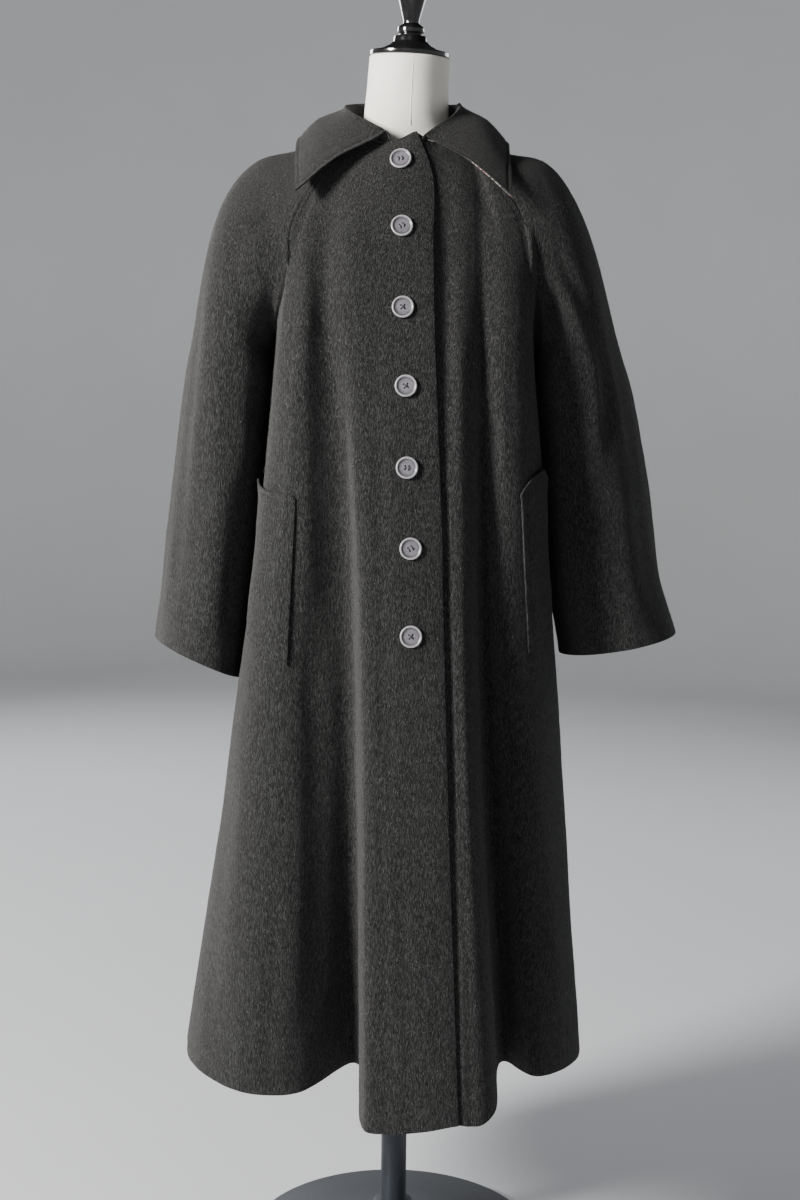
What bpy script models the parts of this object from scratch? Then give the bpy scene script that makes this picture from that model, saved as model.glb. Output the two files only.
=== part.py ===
"""A long wool swing coat with raglan sleeves, buttoned up on a limbless dress form with a round foot.

Metres, +Z up, the coat's front faces -Y. The origin is the centre of the foot's underside. "Right" and
"left" in a name are the wearer's: the wearer's right is at -X.
The coat's cloth is one skin worked out from lines that run down it: each ridge and trough of the folds is
a line in a table, and the skin is lofted through them. It is then parted at the seams into its pieces.
"""

import math

import bmesh
import bpy
import numpy as np
from mathutils import Matrix, Vector

WALL = 0.0025  # thickness of the coating
SEAM_GAP = 0.0003  # between two pieces at a seam, and between a piece and what it rests on
UNDERARM_EASE = 3.0  # how much wider the seams are at the underarm, where four of them meet in a fold
UNDERARM_THIN = 0.55  # share of the wall's thickness that is pressed out of it there
UNDERARM_REACH = 0.035
SLEEVE_SHARE = 1.6  # how much more a sleeve's normal counts than the body's in a raglan seam's
UNDERARMS = ((-0.150, 0.000, 1.165), (0.155, 0.000, 1.165))
LAP_GAP = 0.0006  # between the right front and the left front under it
BODY_ROWS = 20  # rows of the skin from its top edge to the hem
ROW_CROWDING = 1.3  # how much closer together the rows are at the top, 1 being even
RAGLAN_COLUMNS = 9  # columns of the skin along each raglan seam
SLEEVE_ROWS = 11  # rows of a sleeve below the underarm
SLEEVE_COLUMNS = 18  # columns round a sleeve
LEVELS = (1.36, 1.28, 1.17, 0.98, 0.72)  # heights of the table's middle columns

# The lines of the front, from the wearer's right side seam to the left one. Each has the place where it
# leaves the neckline or the raglan seam, (x, y) at each of LEVELS below that, its place at the hem, and
# the number of columns from it to the next line.
FRONT_LINES = (
    # name, top, 1.36, 1.28, 1.17, 0.98, 0.72, hem, columns
    ("right_side", (-0.150, 0.000, 1.165), None, None, None, (-0.171, 0.000), (-0.203, 0.000), (-0.270, 0.000, 0.279), 2),
    ("right_side_front", (-0.152, -0.060, 1.190), None, None, (-0.152, -0.064), (-0.168, -0.070), (-0.200, -0.074), (-0.257, -0.076, 0.277), 2),
    ("right_cone_side", (-0.138, -0.098, 1.245), None, None, (-0.146, -0.106), (-0.161, -0.112), (-0.186, -0.122), (-0.222, -0.130, 0.272), 2),
    ("right_cone_crest", (-0.130, -0.088, 1.312), None, (-0.132, -0.098), (-0.134, -0.128), (-0.142, -0.138), (-0.158, -0.150), (-0.172, -0.162, 0.268), 3),
    ("right_corner", (-0.060, -0.055, 1.415), (-0.092, -0.079), (-0.114, -0.106), (-0.114, -0.137), (-0.114, -0.148), (-0.118, -0.157), (-0.116, -0.162, 0.270), 3),
    ("right_trough", (-0.052, -0.061, 1.411), (-0.078, -0.083), (-0.093, -0.109), (-0.088, -0.131), (-0.074, -0.138), (-0.062, -0.137), (-0.051, -0.108, 0.286), 2),
    ("right_ridge", (-0.041, -0.067, 1.406), (-0.054, -0.092), (-0.066, -0.122), (-0.060, -0.147), (-0.050, -0.169), (-0.041, -0.198), (-0.035, -0.250, 0.262), 2),
    ("under_edge", (-0.030, -0.071, 1.402), (-0.037, -0.097), (-0.036, -0.126), (-0.033, -0.150), (-0.025, -0.175), (-0.017, -0.205), (-0.004, -0.259, 0.262), 3),
    ("centre_front", (-0.006, -0.078, 1.406), (-0.004, -0.100), (-0.002, -0.127), (0.002, -0.151), (0.009, -0.176), (0.018, -0.206), (0.033, -0.262, 0.266), 2),
    ("front_edge", (0.014, -0.081, 1.414), (0.033, -0.097), (0.034, -0.124), (0.037, -0.150), (0.046, -0.172), (0.055, -0.203), (0.074, -0.257, 0.272), 1),
    ("left_recess", (0.030, -0.075, 1.404), (0.046, -0.090), (0.048, -0.115), (0.050, -0.141), (0.056, -0.164), (0.065, -0.195), (0.084, -0.252, 0.270), 1),
    ("left_ridge", (0.042, -0.070, 1.405), (0.060, -0.088), (0.064, -0.118), (0.065, -0.147), (0.067, -0.168), (0.076, -0.200), (0.099, -0.253, 0.271), 2),
    ("left_ridge_edge", (0.052, -0.063, 1.409), (0.075, -0.082), (0.080, -0.110), (0.081, -0.137), (0.083, -0.155), (0.090, -0.184), (0.116, -0.238, 0.279), 2),
    ("left_corner", (0.060, -0.055, 1.415), (0.086, -0.076), (0.091, -0.103), (0.092, -0.126), (0.093, -0.133), (0.102, -0.131), (0.134, -0.104, 0.289), 3),
    ("left_cone_front", (0.100, -0.080, 1.369), (0.102, -0.082), (0.118, -0.108), (0.120, -0.136), (0.122, -0.144), (0.134, -0.141), (0.170, -0.132, 0.282), 2),
    ("left_cone_crest", (0.135, -0.087, 1.324), None, (0.140, -0.099), (0.142, -0.122), (0.150, -0.129), (0.165, -0.124), (0.204, -0.112, 0.282), 2),
    ("left_cone_side", (0.151, -0.099, 1.255), None, None, (0.153, -0.095), (0.168, -0.092), (0.188, -0.086), (0.227, -0.074, 0.281), 1),
    ("left_side_front", (0.155, -0.052, 1.190), None, None, (0.155, -0.056), (0.175, -0.052), (0.198, -0.046), (0.235, -0.038, 0.278), 1),
    ("left_side", (0.155, 0.000, 1.165), None, None, None, (0.176, 0.000), (0.201, 0.000), (0.237, 0.000, 0.275), 0),
)

# The lines of the back, from the wearer's left side seam to the right one.
BACK_LINES = (
    # name, top, 1.36, 1.28, 1.17, 0.98, 0.72, hem, columns
    ("left_side", (0.155, 0.000, 1.165), None, None, None, (0.176, 0.000), (0.201, 0.000), (0.237, 0.000, 0.275), 2),
    ("left_side_back", (0.154, 0.050, 1.195), None, None, (0.154, 0.054), (0.172, 0.070), (0.194, 0.088), (0.222, 0.098, 0.276), 3),
    ("back_left_cone", (0.140, 0.086, 1.270), None, None, (0.138, 0.098), (0.146, 0.122), (0.156, 0.150), (0.172, 0.180, 0.274), 4),
    ("left_back_corner", (0.058, 0.045, 1.428), (0.082, 0.080), (0.096, 0.100), (0.096, 0.107), (0.096, 0.116), (0.098, 0.127), (0.104, 0.140, 0.279), 3),
    ("back_left_ridge", (0.030, 0.058, 1.431), (0.046, 0.087), (0.052, 0.105), (0.052, 0.115), (0.050, 0.140), (0.052, 0.172), (0.058, 0.220, 0.270), 3),
    ("centre_back", (0.000, 0.062, 1.432), (0.000, 0.089), (0.000, 0.105), (0.000, 0.113), (0.000, 0.128), (0.001, 0.147), (0.003, 0.172, 0.275), 3),
    ("back_right_ridge", (-0.030, 0.058, 1.431), (-0.046, 0.087), (-0.052, 0.105), (-0.053, 0.115), (-0.053, 0.141), (-0.058, 0.175), (-0.068, 0.224, 0.270), 3),
    ("right_back_corner", (-0.058, 0.045, 1.428), (-0.082, 0.080), (-0.096, 0.100), (-0.096, 0.107), (-0.098, 0.115), (-0.106, 0.124), (-0.120, 0.134, 0.280), 4),
    ("back_right_cone", (-0.136, 0.086, 1.270), None, None, (-0.134, 0.098), (-0.144, 0.122), (-0.162, 0.152), (-0.188, 0.184, 0.273), 3),
    ("right_side_back", (-0.151, 0.050, 1.195), None, None, (-0.151, 0.054), (-0.168, 0.072), (-0.196, 0.092), (-0.248, 0.104, 0.276), 2),
    ("right_side", (-0.150, 0.000, 1.165), None, None, None, (-0.171, 0.000), (-0.203, 0.000), (-0.270, 0.000, 0.279), 0),
)

# The sleeves. "along" runs from 0 at the neckline over 1 at the underarm to 2 at the cuff. Each row has
# the outermost point of the section there, its innermost point below the underarm, half its size from
# front to back, and how far its front half is turned towards the wearer's middle, in degrees.
SLEEVES = {
    "right": (
        # along, outer, inner, half depth, turned
        (0.00, (-0.070, 0.000, 1.4275), None, 0.045, 0),
        (0.25, (-0.128, 0.002, 1.403), None, 0.066, 0),
        (0.50, (-0.188, 0.002, 1.384), None, 0.086, 0),
        (0.75, (-0.234, 0.000, 1.318), None, 0.090, 2),
        (1.00, (-0.255, 0.000, 1.216), (-0.150, 0.000, 1.165), 0.090, 4),
        (1.09, (-0.261, 0.001, 1.168), (-0.166, 0.001, 1.130), 0.088, 6),
        (1.20, (-0.269, 0.002, 1.110), (-0.172, 0.004, 1.074), 0.088, 8),
        (1.45, (-0.284, 0.004, 0.992), (-0.180, 0.008, 0.960), 0.091, 10),
        (1.72, (-0.297, 0.006, 0.888), (-0.190, 0.012, 0.858), 0.094, 12),
        (2.00, (-0.309, 0.010, 0.797), (-0.205, 0.016, 0.752), 0.098, 14),
    ),
    "left": (
        (0.00, (0.070, 0.000, 1.4275), None, 0.045, 0),
        (0.25, (0.122, 0.003, 1.401), None, 0.066, 0),
        (0.50, (0.178, 0.002, 1.384), None, 0.086, 0),
        (0.75, (0.224, 0.004, 1.316), None, 0.090, 2),
        (1.00, (0.256, 0.008, 1.212), (0.155, 0.000, 1.165), 0.090, 4),
        (1.09, (0.269, 0.011, 1.164), (0.172, 0.004, 1.128), 0.088, 5),
        (1.20, (0.286, 0.014, 1.108), (0.179, 0.010, 1.072), 0.088, 6),
        (1.45, (0.309, 0.016, 0.996), (0.186, 0.018, 0.962), 0.090, 6),
        (1.72, (0.326, 0.018, 0.892), (0.196, 0.026, 0.868), 0.093, 4),
        (2.00, (0.350, 0.020, 0.814), (0.204, 0.034, 0.783), 0.096, 2),
    ),
}
SHOULDER_FLATNESS = 1.1  # exponent of a sleeve's section at the neckline
SHOULDER_END = 0.8  # how far along the sleeve its section has become an ellipse
UNDERARM_FLATNESS = 1.55  # exponent of the inner half of its section at the underarm
UNDERARM_SPREAD = 0.3
SLEEVE_SQUARENESS = 2.3  # exponent of the outer half of a sleeve's section at the cuff, 2 being an ellipse

# The collar, from its end at the wearer's right front round the back to the left one: the seam at its
# foot, the top of its roll, and its outer edge, with the number of columns to the next row.
COLLAR_LINES = (
    # name, foot, roll, edge, columns
    ("right_end", (-0.024, -0.0735, 1.4045), (-0.031, -0.0765, 1.4165), (-0.127, -0.112, 1.341), 3),
    ("right_front", (-0.0600, -0.0550, 1.4150), (-0.0625, -0.0540, 1.4380), (-0.131, -0.058, 1.377), 3),
    ("right_shoulder", (-0.0685, 0.000, 1.4300), (-0.073, 0.000, 1.4555), (-0.130, 0.004, 1.4195), 3),
    ("right_back", (-0.0580, 0.0450, 1.4280), (-0.0590, 0.0460, 1.4650), (-0.098, 0.096, 1.394), 3),
    ("centre_back", (0.000, 0.0625, 1.4350), (0.000, 0.0650, 1.470), (0.000, 0.112, 1.388), 3),
    ("left_back", (0.0580, 0.0450, 1.4280), (0.0590, 0.0460, 1.4650), (0.096, 0.096, 1.394), 3),
    ("left_shoulder", (0.0685, 0.000, 1.4300), (0.066, 0.000, 1.4605), (0.124, 0.004, 1.4145), 3),
    ("left_front", (0.0600, -0.0550, 1.4150), (0.0600, -0.0540, 1.4400), (0.1255, -0.055, 1.389), 3),
    ("left_end", (0.022, -0.0755, 1.4050), (0.031, -0.0815, 1.4165), (0.126, -0.112, 1.337), 0),
)
COLLAR_SEAT = 0.0006  # how far above the neckline's edge the collar's foot stands
COLLAR_WALL = 0.0022
ROLL_RADIUS = 0.0046  # half the width of the collar's fold at its top
FALL_CROWN = 0.006  # how far the collar's fall arches above a straight line
COLLAR_FALL_ROWS = 5
COLLAR_STAND_ROWS = 2

# Pocket welts: the corners, as (x, z) on the front, of the edge sewn to it and of the free edge.
WELTS = {
    "right": {"sewn": ((-0.1225, 0.984), (-0.1310, 0.789)), "free": ((-0.1660, 1.003), (-0.1800, 0.818))},
    "left": {"sewn": ((0.1390, 0.992), (0.1520, 0.804)), "free": ((0.1700, 1.008), (0.1810, 0.830))},
}
WELT_THICK = 0.0030
WELT_COLUMNS = 10
WELT_ROWS = 8
WELT_CLEAR = 0.0008  # between a welt and the front under it

# Buttons, four-hole, down the centre front.
BUTTON_RADIUS = 0.0130
BUTTON_THICK = 0.0036
BUTTON_RIM = 0.0030  # width of the raised rim
BUTTON_DISH = 0.0010  # depth of the dish inside the rim
BUTTON_HOLE_RADIUS = 0.0010
BUTTON_HOLE_SPREAD = 0.0021  # of each hole's centre from the button's
BUTTON_SIDES = 16
BUTTONS = (  # (x, z) on the right front, from the top
    (-0.0047, 1.3797),
    (-0.0026, 1.2999),
    (-0.0004, 1.2061),
    (0.0041, 1.1160),
    (0.0063, 1.0226),
    (0.0115, 0.9304),
    (0.0131, 0.8301),
)

# The dress form: sections of the torso and neck from the hips up.
FORM_SECTIONS = (
    # z, middle x, middle y, half width, front depth, back depth
    (0.745, 0.0, 0.000, 0.128, 0.088, 0.092),
    (0.765, 0.0, 0.000, 0.146, 0.102, 0.106),
    (0.860, 0.0, 0.000, 0.158, 0.108, 0.112),
    (0.960, 0.0, 0.000, 0.140, 0.098, 0.096),
    (1.040, 0.0, 0.000, 0.114, 0.084, 0.078),
    (1.120, 0.0, 0.000, 0.126, 0.100, 0.082),
    (1.190, 0.0, 0.000, 0.134, 0.116, 0.088),
    (1.260, 0.0, 0.000, 0.136, 0.106, 0.090),
    (1.3139, -0.0045, 0.002, 0.148, 0.088, 0.084),
    (1.3528, -0.0045, 0.004, 0.156, 0.066, 0.068),
    (1.3758, -0.0045, 0.004, 0.149, 0.052, 0.054),
    (1.3958, -0.0045, 0.002, 0.112, 0.050, 0.050),
    (1.4118, -0.0045, 0.000, 0.080, 0.051, 0.048),
    (1.4239, 0.0, -0.002, 0.060, 0.052, 0.048),
    (1.440, 0.0008, -0.004, 0.0515, 0.052, 0.050),
    (1.475, 0.0025, -0.008, 0.0495, 0.050, 0.050),
    (1.511, 0.0045, -0.012, 0.0485, 0.049, 0.049),
)
FORM_SIDES = 24
NECK_LEAN = math.radians(5)  # of the neck's top plate, forwards
NECK_TILT = math.radians(2.0)  # of the neck's top plate, to the wearer's left
NECK_TOP = Vector((0.0045, -0.012, 1.511))

# The turned neck cap, as (radius, height) above the neck's top.
CAP_PROFILE = (
    (0.0, 0.135), (0.012, 0.133), (0.020, 0.124), (0.0225, 0.108), (0.0215, 0.090), (0.0165, 0.066),
    (0.0100, 0.042), (0.0100, 0.038), (0.0160, 0.034), (0.0165, 0.029), (0.0135, 0.0255), (0.0200, 0.0235),
    (0.0210, 0.0170), (0.0255, 0.0130), (0.0370, 0.0080), (0.0480, 0.0055), (0.0480, 0.0), (0.0, 0.0),
)
CAP_SIDES = 20

# The stand.
POLE_RADIUS = 0.0165
POLE_SIDES = 20
FORM_BOTTOM = 0.745
FOOT_PROFILE = (  # (radius, height)
    (0.0, 0.060), (0.0240, 0.060), (0.0260, 0.057), (0.0270, 0.042), (0.0400, 0.030), (0.1200, 0.020),
    (0.1850, 0.014), (0.1900, 0.009), (0.1900, 0.0), (0.0, 0.0),
)
FOOT_TOP = 0.060
FOOT_SIDES = 32

MATERIALS = {
    # name: (linear colour, roughness, metallic)
    "wool": ((0.030, 0.031, 0.033), 0.95, 0.0),
    "button": ((0.22, 0.21, 0.22), 0.35, 0.0),
    "form_cover": ((0.80, 0.78, 0.72), 0.70, 0.0),
    "lacquered_wood": ((0.012, 0.011, 0.010), 0.15, 0.0),
    "stand_steel": ((0.045, 0.048, 0.055), 0.40, 0.9),
}


def material(name):
    """The named material, made once."""
    found = bpy.data.materials.get(name)
    if found:
        return found
    colour, roughness, metallic = MATERIALS[name]
    made = bpy.data.materials.new(name)
    made.use_nodes = True
    shader = made.node_tree.nodes["Principled BSDF"]
    shader.inputs["Base Color"].default_value = (*colour, 1.0)
    shader.inputs["Roughness"].default_value = roughness
    shader.inputs["Metallic"].default_value = metallic
    made.diffuse_color = (*colour, 1.0)
    return made


def add_object(name, data, material_name, collection):
    obj = bpy.data.objects.new(name, data)
    obj.data.materials.append(material(material_name))
    collection.objects.link(obj)
    return obj


def curve_point(points, segment, share):
    """The point at this share of a segment of the centripetal Catmull-Rom curve through the points."""
    last = len(points) - 1
    p1, p2 = points[segment], points[segment + 1]
    p0 = points[segment - 1] if segment > 0 else 2 * p1 - p2
    p3 = points[segment + 2] if segment + 2 <= last else 2 * p2 - p1
    knots = [0.0]
    for a, b in ((p0, p1), (p1, p2), (p2, p3)):
        knots.append(knots[-1] + max(np.linalg.norm(b - a), 1e-6) ** 0.5)
    t0, t1, t2, t3 = knots
    t = t1 + share * (t2 - t1)
    a1 = (t1 - t) / (t1 - t0) * p0 + (t - t0) / (t1 - t0) * p1
    a2 = (t2 - t) / (t2 - t1) * p1 + (t - t1) / (t2 - t1) * p2
    a3 = (t3 - t) / (t3 - t2) * p2 + (t - t2) / (t3 - t2) * p3
    b1 = (t2 - t) / (t2 - t0) * a1 + (t - t0) / (t2 - t0) * a2
    b2 = (t3 - t) / (t3 - t1) * a2 + (t - t1) / (t3 - t1) * a3
    return (t2 - t) / (t2 - t1) * b1 + (t - t1) / (t2 - t1) * b2


def along_line(points, rows):
    """This many points along the curve through the points, closer together towards its top."""
    fine = [curve_point(points, s, k / 16) for s in range(len(points) - 1) for k in range(16)]
    fine = np.array([*fine, points[-1]])
    run = np.concatenate([[0], np.cumsum(np.linalg.norm(np.diff(fine, axis=0), axis=1))])
    places = run[-1] * np.linspace(0, 1, rows) ** ROW_CROWDING
    return np.stack([np.interp(places, run, fine[:, k]) for k in range(3)], axis=1)


def line_points(row):
    """The known points of one line of the tables, from its top to the hem."""
    top, middle, hem = row[1], row[2:7], row[7]
    known = [(x, y, z) for place, z in zip(middle, LEVELS) if place and z < top[2] - 0.012 for x, y in [place]]
    return np.array([top, *known, hem], float)


def loft(lines, rows):
    """(points by row and column, the column of each named line) of the skin through the lines."""
    runs = np.array([along_line(line_points(line), rows) for line in lines])
    columns, places = [], {}
    for k, line in enumerate(lines):
        places[line[0]] = len(columns)
        steps = line[8] if k < len(lines) - 1 else 1
        for step in range(steps):
            share = step / steps
            columns.append([runs[k, r] if step == 0 else curve_point(runs[:, r], k, share) for r in range(rows)])
    return np.array(columns).transpose(1, 0, 2), places


def table_at(rows, along, column):
    """A column of a sleeve's table at this place along it, on the smooth curve through its rows."""
    known = [r for r in rows if r[column] is not None]
    places = [r[0] for r in known]
    values = [np.atleast_1d(np.array(r[column], float)) for r in known]
    k = min(max(int(np.searchsorted(places, along)) - 1, 0), len(places) - 2)
    share = (along - places[k]) / (places[k + 1] - places[k])
    p1, p2 = values[k], values[k + 1]
    before = values[k - 1] if k > 0 else 2 * p1 - p2
    after = values[k + 2] if k + 2 < len(values) else 2 * p2 - p1
    m1, m2 = (p2 - before) / 2, (after - p1) / 2
    s2, s3 = share * share, share**3
    return (2 * s3 - 3 * s2 + 1) * p1 + (s3 - 2 * s2 + share) * m1 + (3 * s2 - 2 * s3) * p2 + (s3 - s2) * m2


def squared(angle, along):
    """(cosine, sine) of a section's angle: flatter than an ellipse over the shoulder, boxier below."""
    c, s = math.cos(angle), math.sin(angle)
    power = 2 - (2 - SHOULDER_FLATNESS) * max(1 - (along / SHOULDER_END) ** 2, 0)
    if s > 0 and along > SHOULDER_END:
        power = 2 + (SLEEVE_SQUARENESS - 2) * (along - SHOULDER_END) / (2 - SHOULDER_END)
    elif s < 0:
        power = 2 - (2 - UNDERARM_FLATNESS) * math.exp(-(((along - 1) / UNDERARM_SPREAD) ** 2))
    grow = (abs(c) ** power + abs(s) ** power) ** (-1 / power)
    return c * grow, s * grow


def sleeve_row(front_end, back_end, outer, half_depth, along):
    """One section of a sleeve: an arc from its front edge over the outermost point to its back edge."""
    middle = (front_end + back_end) / 2
    half_chord = np.linalg.norm(front_end - back_end) / 2
    forward = (front_end - back_end) / (2 * half_chord)
    start = -math.acos(min(half_chord / half_depth, 1.0))
    cos_start, sin_start = squared(start, along)
    depth = half_chord / cos_start
    out = outer - middle
    reach = out / (1 - sin_start)
    centre = outer - reach
    row = []
    for k in range(SLEEVE_COLUMNS + 1):
        angle = start + (math.pi - 2 * start) * k / SLEEVE_COLUMNS
        c, s = squared(angle, along)
        row.append(centre + forward * (depth * c) + reach * s)
    row[0], row[-1] = front_end, back_end
    return row


def closed_sleeve_row(inner, outer, half_depth, turned, along):
    """One section of a sleeve below the underarm, a closed loop that starts at its innermost point."""
    centre, reach = (inner + outer) / 2, (outer - inner) / 2
    turn = math.radians(turned) * (1 if inner[0] < 0 else -1)
    forward = np.array([math.sin(turn), -math.cos(turn), 0.0])
    row = []
    for k in range(SLEEVE_COLUMNS + 1):
        c, s = squared(-math.pi / 2 + 2 * math.pi * k / SLEEVE_COLUMNS, along)
        row.append(centre + forward * (half_depth * c) + reach * s)
    row[0] = row[-1] = inner
    return row


def sleeve(table, front_seam, back_seam):
    """The points of a sleeve, from the neckline to the cuff. Its first rows end on the raglan seams."""
    rows = []
    for i in range(RAGLAN_COLUMNS):
        along = i / RAGLAN_COLUMNS
        outer, half_depth = table_at(table, along, 1), table_at(table, along, 3)[0]
        rows.append(sleeve_row(front_seam[i], back_seam[i], outer, half_depth, along))
    for i in range(SLEEVE_ROWS + 1):
        along = 1 + i / SLEEVE_ROWS
        inner, outer = table_at(table, along, 2), table_at(table, along, 1)
        half_depth, turned = table_at(table, along, 3)[0], table_at(table, along, 4)[0]
        rows.append(closed_sleeve_row(inner, outer, half_depth, turned, along))
    return np.array(rows)


def normals_of(grid):
    """The outward normal at each point of a grid, from its rows and columns."""
    down, across = np.gradient(grid, axis=0), np.gradient(grid, axis=1)
    n = np.cross(down, across)
    return n / np.maximum(np.linalg.norm(n, axis=2, keepdims=True), 1e-12)


def key_of(point):
    return tuple(np.round(point * 1e5).astype(int))


def share_normals(grids, seams):
    """Each grid's normals, averaged where the grids meet and evened out along these seams.

    At an underarm, where four grids meet, they point down out of the fold.
    """
    own = {name: normals_of(grid) for name, grid in grids.items()}
    total = {}
    for name, grid in grids.items():
        for point, n in zip(grid.reshape(-1, 3), own[name].reshape(-1, 3)):
            key = key_of(point)
            total[key] = total.get(key, 0) + n * (SLEEVE_SHARE if "sleeve" in name else 1)
    for x, y, z in UNDERARMS:
        total[key_of(np.array([x, y, z]))] = np.array([math.copysign(0.25, x), 0.0, -1.0])
    for seam in seams:
        keys = [key_of(point) for point in seam]
        units = np.array([total[key] / np.linalg.norm(total[key]) for key in keys])
        for key, before, here, after in zip(keys[1:], units, units[1:], units[2:]):
            total[key] = before + 2 * here + after
    for name, grid in grids.items():
        rows, columns = grid.shape[:2]
        for i in range(rows):
            for j in range(columns):
                shared = total[key_of(grid[i, j])]
                own[name][i, j] = shared / max(np.linalg.norm(shared), 1e-9)
        n = own[name]
        even = 2 * n[1:-1, 1:-1] + n[:-2, 1:-1] + n[2:, 1:-1] + n[1:-1, :-2] + n[1:-1, 2:]
        n[1:-1, 1:-1] = even / np.linalg.norm(even, axis=2, keepdims=True)
    return own


def near_underarm(grid):
    """1 at an underarm, falling to 0 away from it."""
    away = np.min([np.linalg.norm(grid - np.array(point), axis=2) for point in UNDERARMS], axis=0)
    return np.exp(-((away / UNDERARM_REACH) ** 2))


def drawn_in(grid, normals, edges, corner=0):
    """The grid with these edges drawn in by half a seam's gap, square to the seam and along the cloth.

    A corner is the row at which the first and last edges turn from one seam into another.
    """
    out = grid.copy()
    half = SEAM_GAP / 2 * (1 + UNDERARM_EASE * near_underarm(grid))
    sides = {
        "top": ((0, slice(None)), (1, slice(None))),
        "first": ((slice(None), 0), (slice(None), 1)),
        "last": ((slice(None), -1), (slice(None), -2)),
    }
    for edge in edges:
        at, inside = sides[edge]
        end = len(grid[at]) - 1
        turns = (0, corner, end) if corner and edge != "top" else (0, end)
        for start, stop in zip(turns, turns[1:]):
            part = slice(start, stop + 1)
            step = np.cross(np.gradient(grid[at][part], axis=0), normals[at][part])
            step /= np.maximum(np.linalg.norm(step, axis=1, keepdims=True), 1e-9)
            inward = ((grid[inside][part] - grid[at][part]) * step).sum(axis=1, keepdims=True)
            out[at][part] += step * np.sign(inward) * half[at][part][:, None]
    return out


def cuts_down(grid, i, j):
    """Whether a cell of a grid is cut into triangles from its first corner to its last, the shorter way."""
    across = np.linalg.norm(grid[i, j + 1] - grid[i + 1, j])
    return bool(np.linalg.norm(grid[i, j] - grid[i + 1, j + 1]) <= across)


def wall(name, outside, inside, material_name, collection):
    """A closed wall between two grids: a flat grid moved onto one, extruded to the other, cut to triangles."""
    rows, columns = outside.shape[:2]
    bm = bmesh.new()
    bmesh.ops.create_grid(bm, x_segments=columns - 1, y_segments=rows - 1, size=0.5)
    place = {}
    for v in bm.verts:
        i, j = round((v.co.y + 0.5) * (rows - 1)), round((v.co.x + 0.5) * (columns - 1))
        place[(round(v.co.x, 5), round(v.co.y, 5))] = (i, j)
    made = bmesh.ops.extrude_face_region(bm, geom=bm.faces[:], use_keep_orig=True)
    raised = {v for v in made["geom"] if isinstance(v, bmesh.types.BMVert)}
    cell = {v: place[(round(v.co.x, 5), round(v.co.y, 5))] for v in bm.verts}
    for v, (i, j) in cell.items():
        v.co = inside[i, j] if v in raised else outside[i, j]
    for face in bm.faces[:]:
        if len({v in raised for v in face.verts}) == 1:
            i, j = min(cell[v] for v in face.verts)
            falls = cuts_down(outside, i, j)
            ends = [v for v in face.verts if (cell[v][0] - i == cell[v][1] - j) == falls]
        else:
            outer = max((v for v in face.verts if v not in raised), key=lambda v: (v.co.z, v.co.x))
            ends = (outer, next(v for v in face.verts if v in raised and cell[v] != cell[outer]))
        bmesh.utils.face_split(face, *ends)
    bmesh.ops.recalc_face_normals(bm, faces=bm.faces)
    if bm.calc_volume(signed=True) < 0:
        bmesh.ops.reverse_faces(bm, faces=bm.faces)
    mesh = bpy.data.meshes.new(name)
    bm.to_mesh(mesh)
    bm.free()
    mesh.shade_smooth()
    mesh.set_sharp_from_angle(angle=math.radians(75))
    return add_object(name, mesh, material_name, collection)


def skin_place(skin, x, z):
    """The (row, column), with fractions, of the point of the skin seen from the front at this x and z."""
    flat = skin[:, :, [0, 2]]
    gap = np.linalg.norm(flat - np.array([x, z]), axis=2)
    i, j = np.unravel_index(np.argmin(gap), gap.shape)
    row, column = float(i), float(j)
    for _ in range(12):
        here = skin_at(skin, row, column)
        d_row = skin_at(skin, row + 0.01, column) - skin_at(skin, row - 0.01, column)
        d_column = skin_at(skin, row, column + 0.01) - skin_at(skin, row, column - 0.01)
        jacobian = np.array([[d_row[0], d_column[0]], [d_row[2], d_column[2]]]) / 0.02
        step = np.linalg.solve(jacobian, np.array([x - here[0], z - here[2]]))
        row = min(max(row + float(np.clip(step[0], -1, 1)), 0.02), skin.shape[0] - 1.02)
        column = min(max(column + float(np.clip(step[1], -1, 1)), 0.02), skin.shape[1] - 1.02)
    return row, column


def skin_at(skin, row, column, values=None):
    """The skin's point between its columns and rows, on the triangles its wall is cut into, or another value there."""
    grid = skin if values is None else values
    i = min(max(int(row), 0), grid.shape[0] - 2)
    j = min(max(int(column), 0), grid.shape[1] - 2)
    a, b = row - i, column - j
    first, below, beside, last = grid[i, j], grid[i + 1, j], grid[i, j + 1], grid[i + 1, j + 1]
    if cuts_down(skin, i, j):
        if a > b:
            return (1 - a) * first + (a - b) * below + b * last
        return (1 - b) * first + (b - a) * beside + a * last
    if a + b < 1:
        return (1 - a - b) * first + a * below + b * beside
    return (1 - b) * below + (1 - a) * beside + (a + b - 1) * last


def make_welt(side, skin, normals, collection):
    """A pocket welt, lying on the front: the front's own points between its four corners, moved out."""
    corners = {edge: [skin_place(skin, x, z) for x, z in ends] for edge, ends in WELTS[side].items()}
    (a, b), (c, d) = corners["sewn"], corners["free"]
    under, over = [], []
    for i in range(WELT_ROWS + 1):
        down = i / WELT_ROWS
        row_under, row_over = [], []
        for j in range(WELT_COLUMNS + 1):
            across = j / WELT_COLUMNS
            sewn = [a[k] + (b[k] - a[k]) * down for k in range(2)]
            free = [c[k] + (d[k] - c[k]) * down for k in range(2)]
            row, column = [sewn[k] + (free[k] - sewn[k]) * across for k in range(2)]
            point, n = skin_at(skin, row, column), skin_at(skin, row, column, normals)
            n = n / np.linalg.norm(n)
            row_under.append(point + n * (WELT_CLEAR))
            row_over.append(point + n * (WELT_CLEAR + WELT_THICK))
        under.append(row_under)
        over.append(row_over)
    return wall(f"pocket_welt_{side}", np.array(over), np.array(under), "wool", collection)


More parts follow.
